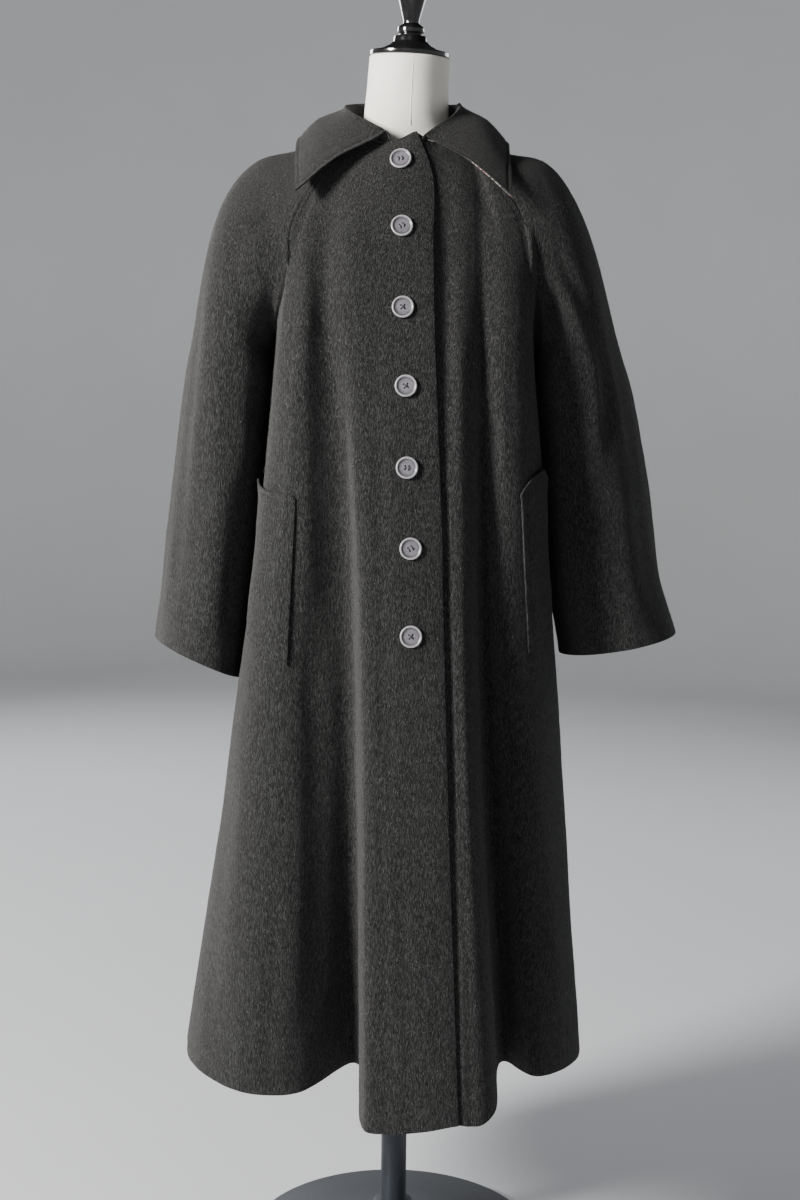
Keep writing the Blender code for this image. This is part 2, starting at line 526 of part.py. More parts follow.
def button_mesh():
    """A four-hole button: a turned disc with a raised rim and a shallow dish, lying on its back."""
    r, t, rim, dish = BUTTON_RADIUS, BUTTON_THICK, BUTTON_RIM, BUTTON_DISH
    profile = (
        (r - 0.0030, 0.0), (r, 0.0014), (r - 0.0004, t - 0.0005), (r - 0.0012, t),
        (r - rim + 0.0008, t), (r - rim - 0.0004, t - dish),
    )
    bm = bmesh.new()
    verts = [bm.verts.new((x, 0.0, z)) for x, z in profile]
    edges = [bm.edges.new(pair) for pair in zip(verts, verts[1:])]
    bmesh.ops.spin(
        bm, geom=verts + edges, cent=(0, 0, 0), axis=(0, 0, 1), angle=2 * math.pi, steps=BUTTON_SIDES, use_merge=True
    )
    bmesh.ops.remove_doubles(bm, verts=bm.verts, dist=1e-6)
    bmesh.ops.holes_fill(bm, edges=bm.edges, sides=0)
    bmesh.ops.recalc_face_normals(bm, faces=bm.faces)
    mesh = bpy.data.meshes.new("button_blank")
    bm.to_mesh(mesh)
    bm.free()
    return mesh


def button_cutter(collection):
    """The four thread holes, as one hidden cutter."""
    bm = bmesh.new()
    for sx in (-1, 1):
        for sy in (-1, 1):
            place = Matrix.Translation((sx * BUTTON_HOLE_SPREAD, sy * BUTTON_HOLE_SPREAD, BUTTON_THICK / 2))
            bmesh.ops.create_cone(
                bm, cap_ends=True, segments=5, radius1=BUTTON_HOLE_RADIUS, radius2=BUTTON_HOLE_RADIUS,
                depth=BUTTON_THICK * 3, matrix=place,
            )
    mesh = bpy.data.meshes.new("button_holes")
    bm.to_mesh(mesh)
    bm.free()
    cutter = bpy.data.objects.new("button_holes", mesh)
    cutter.hide_render = True
    cutter.display_type = "WIRE"
    collection.objects.link(cutter)
    return cutter


def make_buttons(skin, normals, collection, cutters):
    """Each button, flat against the right front at its place, its back just clear of the cloth."""
    blank = bpy.data.objects.new("button_blank", button_mesh())
    cutters.objects.link(blank)
    blank.hide_render = True
    blank.display_type = "WIRE"
    cut = blank.modifiers.new("holes", "BOOLEAN")
    cut.object = button_cutter(cutters)
    cut.operation = "DIFFERENCE"
    bpy.context.view_layer.update()
    shape = bpy.data.meshes.new_from_object(blank.evaluated_get(bpy.context.evaluated_depsgraph_get()))
    shape.shade_smooth()
    shape.set_sharp_from_angle(angle=math.radians(35))
    shape.materials.clear()
    shape.materials.append(material("button"))
    for number, (x, z) in enumerate(BUTTONS, start=1):
        row, column = skin_place(skin, x, z)
        point, n = skin_at(skin, row, column), skin_at(skin, row, column, normals)
        n = n / np.linalg.norm(n)
        near = [p for p in skin.reshape(-1, 3) if np.linalg.norm(p - point) < BUTTON_RADIUS * 1.6]
        ring = [
            skin_at(skin, *skin_place(skin, x + BUTTON_RADIUS * math.cos(a), z + BUTTON_RADIUS * math.sin(a)))
            for a in np.linspace(0, 2 * math.pi, 8, endpoint=False)
        ]
        proud = max([0.0] + [float((p - point) @ n) for p in near + ring])
        obj = bpy.data.objects.new(f"button_{number}", shape)
        obj.rotation_mode = "QUATERNION"
        obj.rotation_quaternion = Vector(n).to_track_quat("Z", "Y")
        obj.location = Vector(point + n * (proud + SEAM_GAP))
        collection.objects.link(obj)


def nearest_on(line, point):
    """The point of a polyline nearest to a point."""
    a, b = line[:-1], line[1:]
    share = np.clip(((point - a) * (b - a)).sum(axis=1) / np.maximum(((b - a) ** 2).sum(axis=1), 1e-12), 0, 1)
    near = a + share[:, None] * (b - a)
    return near[np.argmin(np.linalg.norm(near - point, axis=1))]


def collar_points(neckline):
    """The collar's outside, by row from its foot over the roll to its outer edge, and by column round the neck."""
    sections = []
    for _, foot, roll, edge, _ in COLLAR_LINES:
        foot, roll, edge = (np.array(p, float) for p in (foot, roll, edge))
        out = edge - roll
        level = np.array([out[0], out[1], 0.0])
        level = level / np.linalg.norm(level)
        stand_top = roll - level * ROLL_RADIUS - np.array([0, 0, ROLL_RADIUS])
        fall_top = roll + level * ROLL_RADIUS - np.array([0, 0, ROLL_RADIUS])
        side = np.cross(out, np.cross(level, np.array([0, 0, 1.0])))
        lift = side / np.linalg.norm(side)
        lift = lift if lift[2] > 0 else -lift
        middle = (fall_top + edge) / 2 + lift * FALL_CROWN
        sections.append([foot, stand_top, roll, fall_top, middle, edge])
    sections = np.array(sections)
    steps = (COLLAR_STAND_ROWS, 1, 1, COLLAR_FALL_ROWS // 2, COLLAR_FALL_ROWS - COLLAR_FALL_ROWS // 2)
    rows_by_section = []
    for section in sections:
        row = [curve_point(section, k, s / n) for k, n in enumerate(steps) for s in range(n)]
        rows_by_section.append([*row, section[-1]])
    rows_by_section = np.array(rows_by_section)
    columns = []
    for k, line in enumerate(COLLAR_LINES):
        count = line[4] if k < len(COLLAR_LINES) - 1 else 1
        for s in range(count):
            if s == 0:
                columns.append(rows_by_section[k])
            else:
                columns.append([curve_point(rows_by_section[:, r], k, s / count) for r in range(rows_by_section.shape[1])])
    grid = np.array(columns).transpose(1, 0, 2)
    grid[0] = [nearest_on(neckline, point) + np.array([0, 0, COLLAR_SEAT]) for point in grid[0]]
    return grid


def make_coat(collection, cutters):
    front, front_at = loft(FRONT_LINES, BODY_ROWS)
    back, back_at = loft(BACK_LINES, BODY_ROWS)
    right_seam = front[0, : front_at["right_corner"] + 1][::-1]
    left_seam = front[0, front_at["left_corner"] :]
    right_back_seam = back[0, back_at["right_back_corner"] :]
    left_back_seam = back[0, : back_at["left_back_corner"] + 1][::-1]
    right_sleeve = sleeve(SLEEVES["right"], right_seam, right_back_seam)
    left_sleeve = sleeve(SLEEVES["left"], left_seam, left_back_seam)[:, ::-1]
    front_normals = normals_of(front)

    # Each grid runs from left to right as seen from outside, so that its normals point out.
    edge, under = front_at["front_edge"], front_at["under_edge"]
    grids = {
        "front_right": front[:, : edge + 1],
        "front_left": front[:, under:],
        "back": back,
        "sleeve_right": right_sleeve[:, ::-1],
        "sleeve_left": left_sleeve[:, ::-1],
    }
    normals = share_normals(grids, (front[0], back[0]))

    # The left front lies under the right one from its own edge to just past the right one's.
    columns = grids["front_left"].shape[1]
    lap = np.array([1.0 if j <= edge - under else 0.0 for j in range(columns)]) * (WALL + LAP_GAP)
    lowered = grids["front_left"] - front_normals[:, under:] * lap[None, :, None]
    grids["front_left"] = lowered

    drawn = {
        "front_right": ("top", "first"),
        "front_left": ("top", "last"),
        "back": ("top", "first", "last"),
        "sleeve_right": ("top", "first", "last"),
        "sleeve_left": ("top", "first", "last"),
    }
    for name, grid in grids.items():
        corner = RAGLAN_COLUMNS if "sleeve" in name else 0
        outside = drawn_in(grid, normals[name], drawn[name], corner)
        inside = outside - normals[name] * WALL * (1 - UNDERARM_THIN * near_underarm(grid))[:, :, None]
        wall(name, outside, inside, "wool", collection)

    neckline = np.concatenate([
        front[0, front_at["right_corner"] : front_at["centre_front"] + 1][::-1],
        right_sleeve[0],
        back[0, back_at["left_back_corner"] : back_at["right_back_corner"] + 1][::-1],
        left_sleeve[0],
        grids["front_left"][0, edge - under + 1 : front_at["left_corner"] - under + 1][::-1],
    ])
    collar = collar_points(neckline)
    collar_normals = normals_of(collar)
    wall("collar", collar, collar + collar_normals * COLLAR_WALL, "wool", collection)
    for side in ("right", "left"):
        make_welt(side, front, front_normals, collection)
    make_buttons(front, front_normals, collection, cutters)


def form_ring(section):
    """One section of the dress form, as points round it."""
    z, x0, y0, half_width, front_depth, back_depth = section
    ring = []
    for k in range(FORM_SIDES):
        angle = 2 * math.pi * k / FORM_SIDES
        s = math.sin(angle)
        ring.append(Vector((x0 + half_width * math.cos(angle), y0 + (back_depth if s > 0 else front_depth) * s, z)))
    if section is FORM_SECTIONS[-1]:
        turn = Matrix.Rotation(NECK_LEAN, 3, "X") @ Matrix.Rotation(NECK_TILT, 3, "Y")
        ring = [NECK_TOP + turn @ (p - NECK_TOP) for p in ring]
    return ring


def make_form(collection):
    """The dress form's torso and neck, lofted through its sections, and closed top and bottom."""
    bm = bmesh.new()
    loops = []
    for section in FORM_SECTIONS:
        verts = [bm.verts.new(p) for p in form_ring(section)]
        loops.append([bm.edges.new((verts[k - 1], verts[k])) for k in range(FORM_SIDES)])
    for lower, upper in zip(loops, loops[1:]):
        bmesh.ops.bridge_loops(bm, edges=lower + upper)
    bmesh.ops.holes_fill(bm, edges=loops[0] + loops[-1], sides=0)
    bmesh.ops.recalc_face_normals(bm, faces=bm.faces)
    mesh = bpy.data.meshes.new("form_torso")
    bm.to_mesh(mesh)
    bm.free()
    mesh.shade_smooth()
    mesh.set_sharp_from_angle(angle=math.radians(50))
    add_object("form_torso", mesh, "form_cover", collection)


def turned(name, profile, sides, material_name, collection):
    """A turned piece: its profile, from the top down, spun round Z with a Screw modifier."""
    mesh = bpy.data.meshes.new(name)
    mesh.from_pydata([(r, 0.0, z) for r, z in profile], [(k, k + 1) for k in range(len(profile) - 1)], [])
    obj = add_object(name, mesh, material_name, collection)
    screw = obj.modifiers.new("turn", "SCREW")
    screw.steps = screw.render_steps = sides
    screw.use_merge_vertices = True
    screw.merge_threshold = 0.00005
    screw.use_smooth_shade = True
    return obj


def make_stand(collection):
    cap = turned("neck_cap", CAP_PROFILE, CAP_SIDES, "lacquered_wood", collection)
    seat = bpy.data.objects.new("neck_seat", None)
    collection.objects.link(seat)
    turn = Matrix.Rotation(NECK_LEAN, 4, "X") @ Matrix.Rotation(NECK_TILT, 4, "Y")
    seat.matrix_world = Matrix.Translation(NECK_TOP) @ turn
    cap.parent = seat
    cap.location = (0, 0, SEAM_GAP)
    turned("foot", FOOT_PROFILE, FOOT_SIDES, "stand_steel", collection)
    length = FORM_BOTTOM - FOOT_TOP - 2 * SEAM_GAP
    bpy.ops.mesh.primitive_cylinder_add(
        vertices=POLE_SIDES, radius=POLE_RADIUS, depth=length, location=(0, 0, (FORM_BOTTOM + FOOT_TOP) / 2)
    )
    pole = bpy.context.object
    pole.name = pole.data.name = "pole"
    pole.data.materials.append(material("stand_steel"))
    pole.data.shade_smooth()
    pole.data.set_sharp_from_angle(angle=math.radians(50))
    for holder in list(pole.users_collection):
        holder.objects.unlink(pole)
    collection.objects.link(pole)


def main():
    for old in list(bpy.data.objects):
        bpy.data.objects.remove(old)
    collection = bpy.data.collections.new("wool_coat_on_dress_form")
    cutters = bpy.data.collections.new("cutters")
    bpy.context.scene.collection.children.link(collection)
    bpy.context.scene.collection.children.link(cutters)
    make_coat(collection, cutters)
    make_form(collection)
    make_stand(collection)


main()
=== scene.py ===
import math

import bmesh
import bpy
import numpy as np
from mathutils import Matrix, Vector, noise
from mathutils.bvhtree import BVHTree
from mathutils.kdtree import KDTree


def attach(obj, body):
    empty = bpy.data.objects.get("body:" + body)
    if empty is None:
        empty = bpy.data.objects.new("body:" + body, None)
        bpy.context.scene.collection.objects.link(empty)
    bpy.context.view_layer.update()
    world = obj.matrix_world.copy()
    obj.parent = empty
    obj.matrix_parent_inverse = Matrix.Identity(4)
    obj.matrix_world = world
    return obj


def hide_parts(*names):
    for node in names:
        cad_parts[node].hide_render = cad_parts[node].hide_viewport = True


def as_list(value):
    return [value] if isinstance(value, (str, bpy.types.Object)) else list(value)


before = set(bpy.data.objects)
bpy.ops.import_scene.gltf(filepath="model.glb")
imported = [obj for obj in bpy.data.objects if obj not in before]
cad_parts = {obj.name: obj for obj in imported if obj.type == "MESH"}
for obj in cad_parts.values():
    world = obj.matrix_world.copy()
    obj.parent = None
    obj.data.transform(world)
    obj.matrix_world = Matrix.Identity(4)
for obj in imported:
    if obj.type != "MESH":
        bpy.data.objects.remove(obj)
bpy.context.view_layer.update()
scene = bpy.context.scene
print("frame loaded")

# The camera stands at a standing person's eye height and looks a little down.
photoCamera = {
    "place": (0.0, -2.15, 1.10),
    "focalPixels": 1720.0,  # in a frame 1200 pixels high
    "dropPixels": 200.0,  # of the frame's middle below the horizon
    "frameHeight": 1200.0,
    "rollDegrees": 0.65,
}


def addCamera(spec):
    data = bpy.data.cameras.new("photoCamera")
    data.sensor_width = 36.0
    data.lens = data.sensor_width * spec["focalPixels"] / spec["frameHeight"]
    data.clip_end = 50.0
    camera = bpy.data.objects.new("photoCamera", data)
    pitch = math.atan(spec["dropPixels"] / spec["focalPixels"])
    roll = Matrix.Rotation(math.radians(spec["rollDegrees"]), 4, "Z")
    turn = Matrix.Rotation(math.pi / 2 - pitch, 4, "X") @ roll
    camera.matrix_world = Matrix.Translation(spec["place"]) @ turn
    scene.collection.objects.link(camera)
    scene.camera = camera


addCamera(photoCamera)


def linear(hexColour):
    parts = [int(hexColour[k : k + 2], 16) / 255 for k in (1, 3, 5)]
    return (*[p / 12.92 if p <= 0.04045 else ((p + 0.055) / 1.055) ** 2.4 for p in parts], 1.0)


# One node with its settings and links. Numbers stand for the inputs of nodes whose inputs share a name.
def addNode(tree, kind, settings=None, links=None):
    node = tree.nodes.new(kind)
    for name, value in (settings or {}).items():
        if isinstance(name, int) or name in node.inputs:
            node.inputs[name].default_value = value
        else:
            setattr(node, name, value)
    for name, source in (links or {}).items():
        tree.links.new(source, node.inputs[name])
    return node


def newMaterial(name):
    made = bpy.data.materials.new(name)
    made.use_nodes = True
    made.node_tree.nodes.clear()
    return made, made.node_tree


def finishMaterial(tree, settings, links, normal=None):
    shader = addNode(tree, "ShaderNodeBsdfPrincipled", settings, links)
    if normal:
        tree.links.new(normal, shader.inputs["Normal"])
    addNode(tree, "ShaderNodeOutputMaterial", links={"Surface": shader.outputs[0]})


def scaledCoordinates(tree, perMetre, turn=(0.0, 0.0, 0.0)):
    place = addNode(tree, "ShaderNodeTexCoord").outputs["Object"]
    settings = {"Scale": perMetre, "Rotation": turn}
    return addNode(tree, "ShaderNodeMapping", settings, {"Vector": place}).outputs[0]


# Soft clouds of light and dark, so many to the metre each way.
def clouds(tree, perMetre, detail=2.0, roughness=0.5, distortion=0.0, turn=(0.0, 0.0, 0.0)):
    settings = {"Scale": 1.0, "Detail": detail, "Roughness": roughness, "Distortion": distortion}
    vector = scaledCoordinates(tree, perMetre, turn)
    return addNode(tree, "ShaderNodeTexNoise", settings, {"Vector": vector}).outputs["Fac"]


# From the first colour to the second by a share. Each is a hex shade or another node's output.
def mixed(tree, share, first, second):
    settings, links = {"data_type": "RGBA"}, {0: share}
    for socket, colour in ((6, first), (7, second)):
        if isinstance(colour, str):
            settings[socket] = linear(colour)
        else:
            links[socket] = colour
    return addNode(tree, "ShaderNodeMix", settings, links).outputs[2]


def ranged(tree, value, source, target, interpolation="LINEAR"):
    settings = {"From Min": source[0], "From Max": source[1], "To Min": target[0], "To Max": target[1]}
    settings["interpolation_type"] = interpolation
    return addNode(tree, "ShaderNodeMapRange", settings, {"Value": value}).outputs[0]


def bumped(tree, height, strength, distance):
    settings = {"Strength": strength, "Distance": distance}
    return addNode(tree, "ShaderNodeBump", settings, {"Height": height}).outputs[0]


# Brushed wool coating: matt, with a short nap combed downwards that lies in small locks of lighter fibres
# over a darker ground, and a faint sheen where the fibres stand against the light.
wool = {
    "ground": "#0d0d0d",
    "lock": "#373737",
    "fibre": "#777776",
    "wear": "#222222",
    "lockWidth": 1.5,  # mm
    "lockLength": 6.5,
    "grain": 0.7,  # mm, single fibres, drawn as coarse as they need to show
    "patch": 30.0,  # mm, where the nap is rubbed one way or the other
    "relief": 0.0042,  # m
    "sheen": 0.20,
}


def woolMaterial(name, leanDegrees=0.0):
    made, tree = newMaterial(name)
    width, length, grain, patch = (1000 / wool[k] for k in ("lockWidth", "lockLength", "grain", "patch"))
    lean = (0.0, math.radians(leanDegrees), 0.0)
    locks = clouds(tree, (width, width, length), 3.0, 0.6, 0.75, lean)
    fibres = clouds(tree, (grain, grain, grain / 5), 2.0, 0.5, 0.2, lean)
    patches = clouds(tree, (patch, patch, patch / 2), 3.0, 0.55)
    ground = mixed(tree, patches, wool["ground"], wool["wear"])
    napped = mixed(tree, ranged(tree, locks, (0.40, 0.66), (0.0, 1.0), "SMOOTHSTEP"), ground, wool["lock"])
    colour = mixed(tree, ranged(tree, fibres, (0.62, 0.80), (0.0, 0.8)), napped, wool["fibre"])
    blend = {"operation": "MULTIPLY_ADD", 1: 0.35}
    height = addNode(tree, "ShaderNodeMath", blend, {0: fibres, 2: locks}).outputs[0]
    bump = bumped(tree, height, 0.9, wool["relief"])
    settings = {
        "Roughness": 0.95,
        "IOR": 1.45,
        "Specular IOR Level": 0.15,
        "Sheen Weight": wool["sheen"],
        "Sheen Roughness": 0.45,
        "Sheen Tint": linear("#bdbcba"),
    }
    finishMaterial(tree, settings, {"Base Color": colour}, bump)
    return made


coatWool = woolMaterial("brushedWoolCoating")
rightSleeveWool = woolMaterial("brushedWoolRightSleeve", 10.0)
leftSleeveWool = woolMaterial("brushedWoolLeftSleeve", -12.0)
print("wool made")

# The coat is one skin through lines that run down it, a line for each ridge and trough of its folds.
skin = {
    "wall": 0.0025,
    "seamGap": 0.0003,
    "underarmEase": 3.0,
    "underarmReach": 0.035,
    "sleeveShare": 1.6,
    "underarms": ((-0.150, 0.000, 1.165), (0.155, 0.000, 1.165)),
    "lapGap": 0.0006,  # between the right front and the left front under it
    "rowCrowding": 1.3,
    "levels": (1.36, 1.28, 1.17, 0.98, 0.72),
    "belowTop": 0.012,  # a level nearer than this to a line's top is left out
    "smoothing": 16,  # points between two given ones of a line
    "rows": 19 * 11 + 1,
    "finer": 5,  # columns of this skin to each one of the frame's
    "raglanColumns": 9,
    "sleeveRows": 11 * 7,
    "sleeveColumns": 96,
    "sleeveCrowding": 0.55,  # of the columns towards a sleeve's seams
}
raglanRows = skin["raglanColumns"] * skin["finer"]  # of a sleeve, from the neckline to the underarm

# Each line: where it leaves the neckline or the raglan seam, (x, y) at each level, its place at the hem,
# and its share of the columns.
frontLines = (
    # name, top, 1.36, 1.28, 1.17, 0.98, 0.72, hem, columns
    ("right_side", (-0.150, 0.000, 1.165), None, None, None, (-0.171, 0.000), (-0.203, 0.000),
     (-0.270, 0.000, 0.279), 2),
    ("right_side_front", (-0.152, -0.060, 1.190), None, None, (-0.152, -0.064), (-0.168, -0.070),
     (-0.200, -0.074), (-0.257, -0.076, 0.277), 2),
    ("right_cone_side", (-0.138, -0.098, 1.245), None, None, (-0.146, -0.106), (-0.161, -0.112),
     (-0.186, -0.122), (-0.222, -0.130, 0.272), 2),
    ("right_cone_crest", (-0.130, -0.088, 1.312), None, (-0.132, -0.098), (-0.134, -0.128),
     (-0.142, -0.138), (-0.158, -0.150), (-0.172, -0.162, 0.268), 3),
    ("right_corner", (-0.060, -0.055, 1.415), (-0.092, -0.079), (-0.114, -0.106), (-0.114, -0.137),
     (-0.114, -0.148), (-0.118, -0.157), (-0.116, -0.162, 0.270), 3),
    ("right_trough", (-0.052, -0.061, 1.411), (-0.078, -0.083), (-0.093, -0.109), (-0.088, -0.131),
     (-0.074, -0.138), (-0.062, -0.137), (-0.051, -0.108, 0.286), 2),
    ("right_ridge", (-0.041, -0.067, 1.406), (-0.054, -0.092), (-0.066, -0.122), (-0.060, -0.147),
     (-0.050, -0.169), (-0.041, -0.198), (-0.035, -0.250, 0.262), 2),
    ("under_edge", (-0.030, -0.071, 1.402), (-0.037, -0.097), (-0.036, -0.126), (-0.033, -0.150),
     (-0.025, -0.175), (-0.017, -0.205), (-0.004, -0.259, 0.262), 3),
    ("centre_front", (-0.006, -0.078, 1.406), (-0.004, -0.100), (-0.002, -0.127), (0.002, -0.151),
     (0.009, -0.176), (0.018, -0.206), (0.033, -0.262, 0.266), 2),
    ("front_edge", (0.014, -0.081, 1.414), (0.033, -0.097), (0.034, -0.124), (0.037, -0.150),
     (0.046, -0.172), (0.055, -0.203), (0.074, -0.257, 0.272), 1),
    ("left_recess", (0.030, -0.075, 1.404), (0.046, -0.090), (0.048, -0.115), (0.050, -0.141),
     (0.056, -0.164), (0.065, -0.195), (0.084, -0.252, 0.270), 1),
    ("left_ridge", (0.042, -0.070, 1.405), (0.060, -0.088), (0.064, -0.118), (0.065, -0.147),
     (0.067, -0.168), (0.076, -0.200), (0.099, -0.253, 0.271), 2),
    ("left_ridge_edge", (0.052, -0.063, 1.409), (0.075, -0.082), (0.080, -0.110), (0.081, -0.137),
     (0.083, -0.155), (0.090, -0.184), (0.116, -0.238, 0.279), 2),
    ("left_corner", (0.060, -0.055, 1.415), (0.086, -0.076), (0.091, -0.103), (0.092, -0.126),
     (0.093, -0.133), (0.102, -0.131), (0.134, -0.104, 0.289), 3),
    ("left_cone_front", (0.100, -0.080, 1.369), (0.102, -0.082), (0.118, -0.108), (0.120, -0.136),
     (0.122, -0.144), (0.134, -0.141), (0.170, -0.132, 0.282), 2),
    ("left_cone_crest", (0.135, -0.087, 1.324), None, (0.140, -0.099), (0.142, -0.122), (0.150, -0.129),
     (0.165, -0.124), (0.204, -0.112, 0.282), 2),
    ("left_cone_side", (0.151, -0.099, 1.255), None, None, (0.153, -0.095), (0.168, -0.092),
     (0.188, -0.086), (0.227, -0.074, 0.281), 1),
    ("left_side_front", (0.155, -0.052, 1.190), None, None, (0.155, -0.056), (0.175, -0.052),
     (0.198, -0.046), (0.235, -0.038, 0.278), 1),
    ("left_side", (0.155, 0.000, 1.165), None, None, None, (0.176, 0.000), (0.201, 0.000),
     (0.237, 0.000, 0.275), 0),
)
backLines = (
    # name, top, 1.36, 1.28, 1.17, 0.98, 0.72, hem, columns
    ("left_side", (0.155, 0.000, 1.165), None, None, None, (0.176, 0.000), (0.201, 0.000),
     (0.237, 0.000, 0.275), 2),
    ("left_side_back", (0.154, 0.050, 1.195), None, None, (0.154, 0.054), (0.172, 0.070), (0.194, 0.088),
     (0.222, 0.098, 0.276), 3),
    ("back_left_cone", (0.140, 0.086, 1.270), None, None, (0.138, 0.098), (0.146, 0.122), (0.156, 0.150),
     (0.172, 0.180, 0.274), 4),
    ("left_back_corner", (0.058, 0.045, 1.428), (0.082, 0.080), (0.096, 0.100), (0.096, 0.107),
     (0.096, 0.116), (0.098, 0.127), (0.104, 0.140, 0.279), 3),
    ("back_left_ridge", (0.030, 0.058, 1.431), (0.046, 0.087), (0.052, 0.105), (0.052, 0.115),
     (0.050, 0.140), (0.052, 0.172), (0.058, 0.220, 0.270), 3),
    ("centre_back", (0.000, 0.062, 1.432), (0.000, 0.089), (0.000, 0.105), (0.000, 0.113), (0.000, 0.128),
     (0.001, 0.147), (0.003, 0.172, 0.275), 3),
    ("back_right_ridge", (-0.030, 0.058, 1.431), (-0.046, 0.087), (-0.052, 0.105), (-0.053, 0.115),
     (-0.053, 0.141), (-0.058, 0.175), (-0.068, 0.224, 0.270), 3),
    ("right_back_corner", (-0.058, 0.045, 1.428), (-0.082, 0.080), (-0.096, 0.100), (-0.096, 0.107),
     (-0.098, 0.115), (-0.106, 0.124), (-0.120, 0.134, 0.280), 4),
    ("back_right_cone", (-0.136, 0.086, 1.270), None, None, (-0.134, 0.098), (-0.144, 0.122),
     (-0.162, 0.152), (-0.188, 0.184, 0.273), 3),
    ("right_side_back", (-0.151, 0.050, 1.195), None, None, (-0.151, 0.054), (-0.168, 0.072),
     (-0.196, 0.092), (-0.248, 0.104, 0.276), 2),
    ("right_side", (-0.150, 0.000, 1.165), None, None, None, (-0.171, 0.000), (-0.203, 0.000),
     (-0.270, 0.000, 0.279), 0),
)

# "along" is 0 at the neckline, 1 at the underarm and 2 at the cuff.
sleeves = {
    "right": (
        # along, outer, inner, half depth, turned
        (0.00, (-0.070, 0.000, 1.4275), None, 0.045, 0),
        (0.25, (-0.128, 0.002, 1.403), None, 0.066, 0),
        (0.50, (-0.188, 0.002, 1.384), None, 0.086, 0),
        (0.75, (-0.234, 0.000, 1.318), None, 0.090, 2),
        (1.00, (-0.255, 0.000, 1.216), (-0.150, 0.000, 1.165), 0.090, 4),
        (1.09, (-0.261, 0.001, 1.168), (-0.166, 0.001, 1.130), 0.088, 6),
        (1.20, (-0.269, 0.002, 1.110), (-0.172, 0.004, 1.074), 0.088, 8),
        (1.45, (-0.284, 0.004, 0.992), (-0.180, 0.008, 0.960), 0.091, 10),
        (1.72, (-0.297, 0.006, 0.888), (-0.190, 0.012, 0.858), 0.094, 12),
        (2.00, (-0.309, 0.010, 0.797), (-0.205, 0.016, 0.752), 0.098, 14),
    ),
    "left": (
        (0.00, (0.070, 0.000, 1.4275), None, 0.045, 0),
        (0.25, (0.122, 0.003, 1.401), None, 0.066, 0),
        (0.50, (0.178, 0.002, 1.384), None, 0.086, 0),
        (0.75, (0.224, 0.004, 1.316), None, 0.090, 2),
        (1.00, (0.256, 0.008, 1.212), (0.155, 0.000, 1.165), 0.090, 4),
        (1.09, (0.269, 0.011, 1.164), (0.172, 0.004, 1.128), 0.088, 5),
        (1.20, (0.286, 0.014, 1.108), (0.179, 0.010, 1.072), 0.088, 6),
        (1.45, (0.309, 0.016, 0.996), (0.186, 0.018, 0.962), 0.090, 6),
        (1.72, (0.326, 0.018, 0.892), (0.196, 0.026, 0.868), 0.093, 4),
        (2.00, (0.350, 0.020, 0.814), (0.204, 0.034, 0.783), 0.096, 2),
    ),
    "shoulderFlatness": 1.1,
    "shoulderEnd": 0.8,
    "underarmFlatness": 1.55,
    "underarmSpread": 0.3,
    "squareness": 2.3,
}


def unit(vectors):
    return vectors / np.maximum(np.linalg.norm(vectors, axis=-1, keepdims=True), 1e-12)


# A share from 0 to 1 that starts and ends softly.
def softStep(share):
    return share * share * (3 - 2 * share)


# A place on the smooth curve through points. Each point may be a whole row of points.
def splinePoint(points, segment, share):
    last = len(points) - 1
    p1, p2 = points[segment], points[segment + 1]
    p0 = points[segment - 1] if segment > 0 else 2 * p1 - p2
    p3 = points[segment + 2] if segment + 2 <= last else 2 * p2 - p1
    t0, knots = 0.0, []
    for a, b in ((p0, p1), (p1, p2), (p2, p3)):
        step = np.maximum(np.linalg.norm(b - a, axis=-1, keepdims=True), 1e-6) ** 0.5
        knots.append((knots[-1] if knots else t0) + step)
    t1, t2, t3 = knots
    t = t1 + share * (t2 - t1)
    a1 = (t1 - t) / (t1 - t0) * p0 + (t - t0) / (t1 - t0) * p1
    a2 = (t2 - t) / (t2 - t1) * p1 + (t - t1) / (t2 - t1) * p2
    a3 = (t3 - t) / (t3 - t2) * p2 + (t - t2) / (t3 - t2) * p3
    b1 = (t2 - t) / (t2 - t0) * a1 + (t - t0) / (t2 - t0) * a2
    b2 = (t3 - t) / (t3 - t1) * a2 + (t - t1) / (t3 - t1) * a3
    return (t2 - t) / (t2 - t1) * b1 + (t - t1) / (t2 - t1) * b2


def smoothLine(points, parts):
    points = np.array(points, float)
    fine = [splinePoint(points, s, k / parts) for s in range(len(points) - 1) for k in range(parts)]
    return np.array([*fine, points[-1]])


# How far along a line each of its points lies, and the places at given distances along it.
def runOf(points):
    return np.concatenate([[0], np.cumsum(np.linalg.norm(np.diff(points, axis=0), axis=1))])


def placesAt(points, run, distances):
    return np.stack([np.interp(distances, run, points[:, k]) for k in range(3)], axis=-1)


def alongLine(row):
    top, middle, hem = row[1], row[2:7], row[7]
    highest = top[2] - skin["belowTop"]
    known = [(*place, z) for place, z in zip(middle, skin["levels"]) if place and z < highest]
    fine = smoothLine([top, *known, hem], skin["smoothing"])
    run = runOf(fine)
    return placesAt(fine, run, run[-1] * np.linspace(0, 1, skin["rows"]) ** skin["rowCrowding"])


# Columns of points through neighbouring lines, and the column at which each line lies.
def columnsThrough(byLine, counts, finer):
    columns, starts = [], []
    for k, count in enumerate(counts):
        starts.append(len(columns))
        steps = count * finer if k < len(counts) - 1 else 1
        columns += [splinePoint(byLine, k, step / steps) if step else byLine[k] for step in range(steps)]
    return np.array(columns).transpose(1, 0, 2), starts


# The skin's points by row and column, and the column of each named line.
def loft(lines):
    runs = np.array([alongLine(line) for line in lines])
    grid, starts = columnsThrough(runs, [line[8] for line in lines], skin["finer"])
    return grid, {line[0]: start for line, start in zip(lines, starts)}


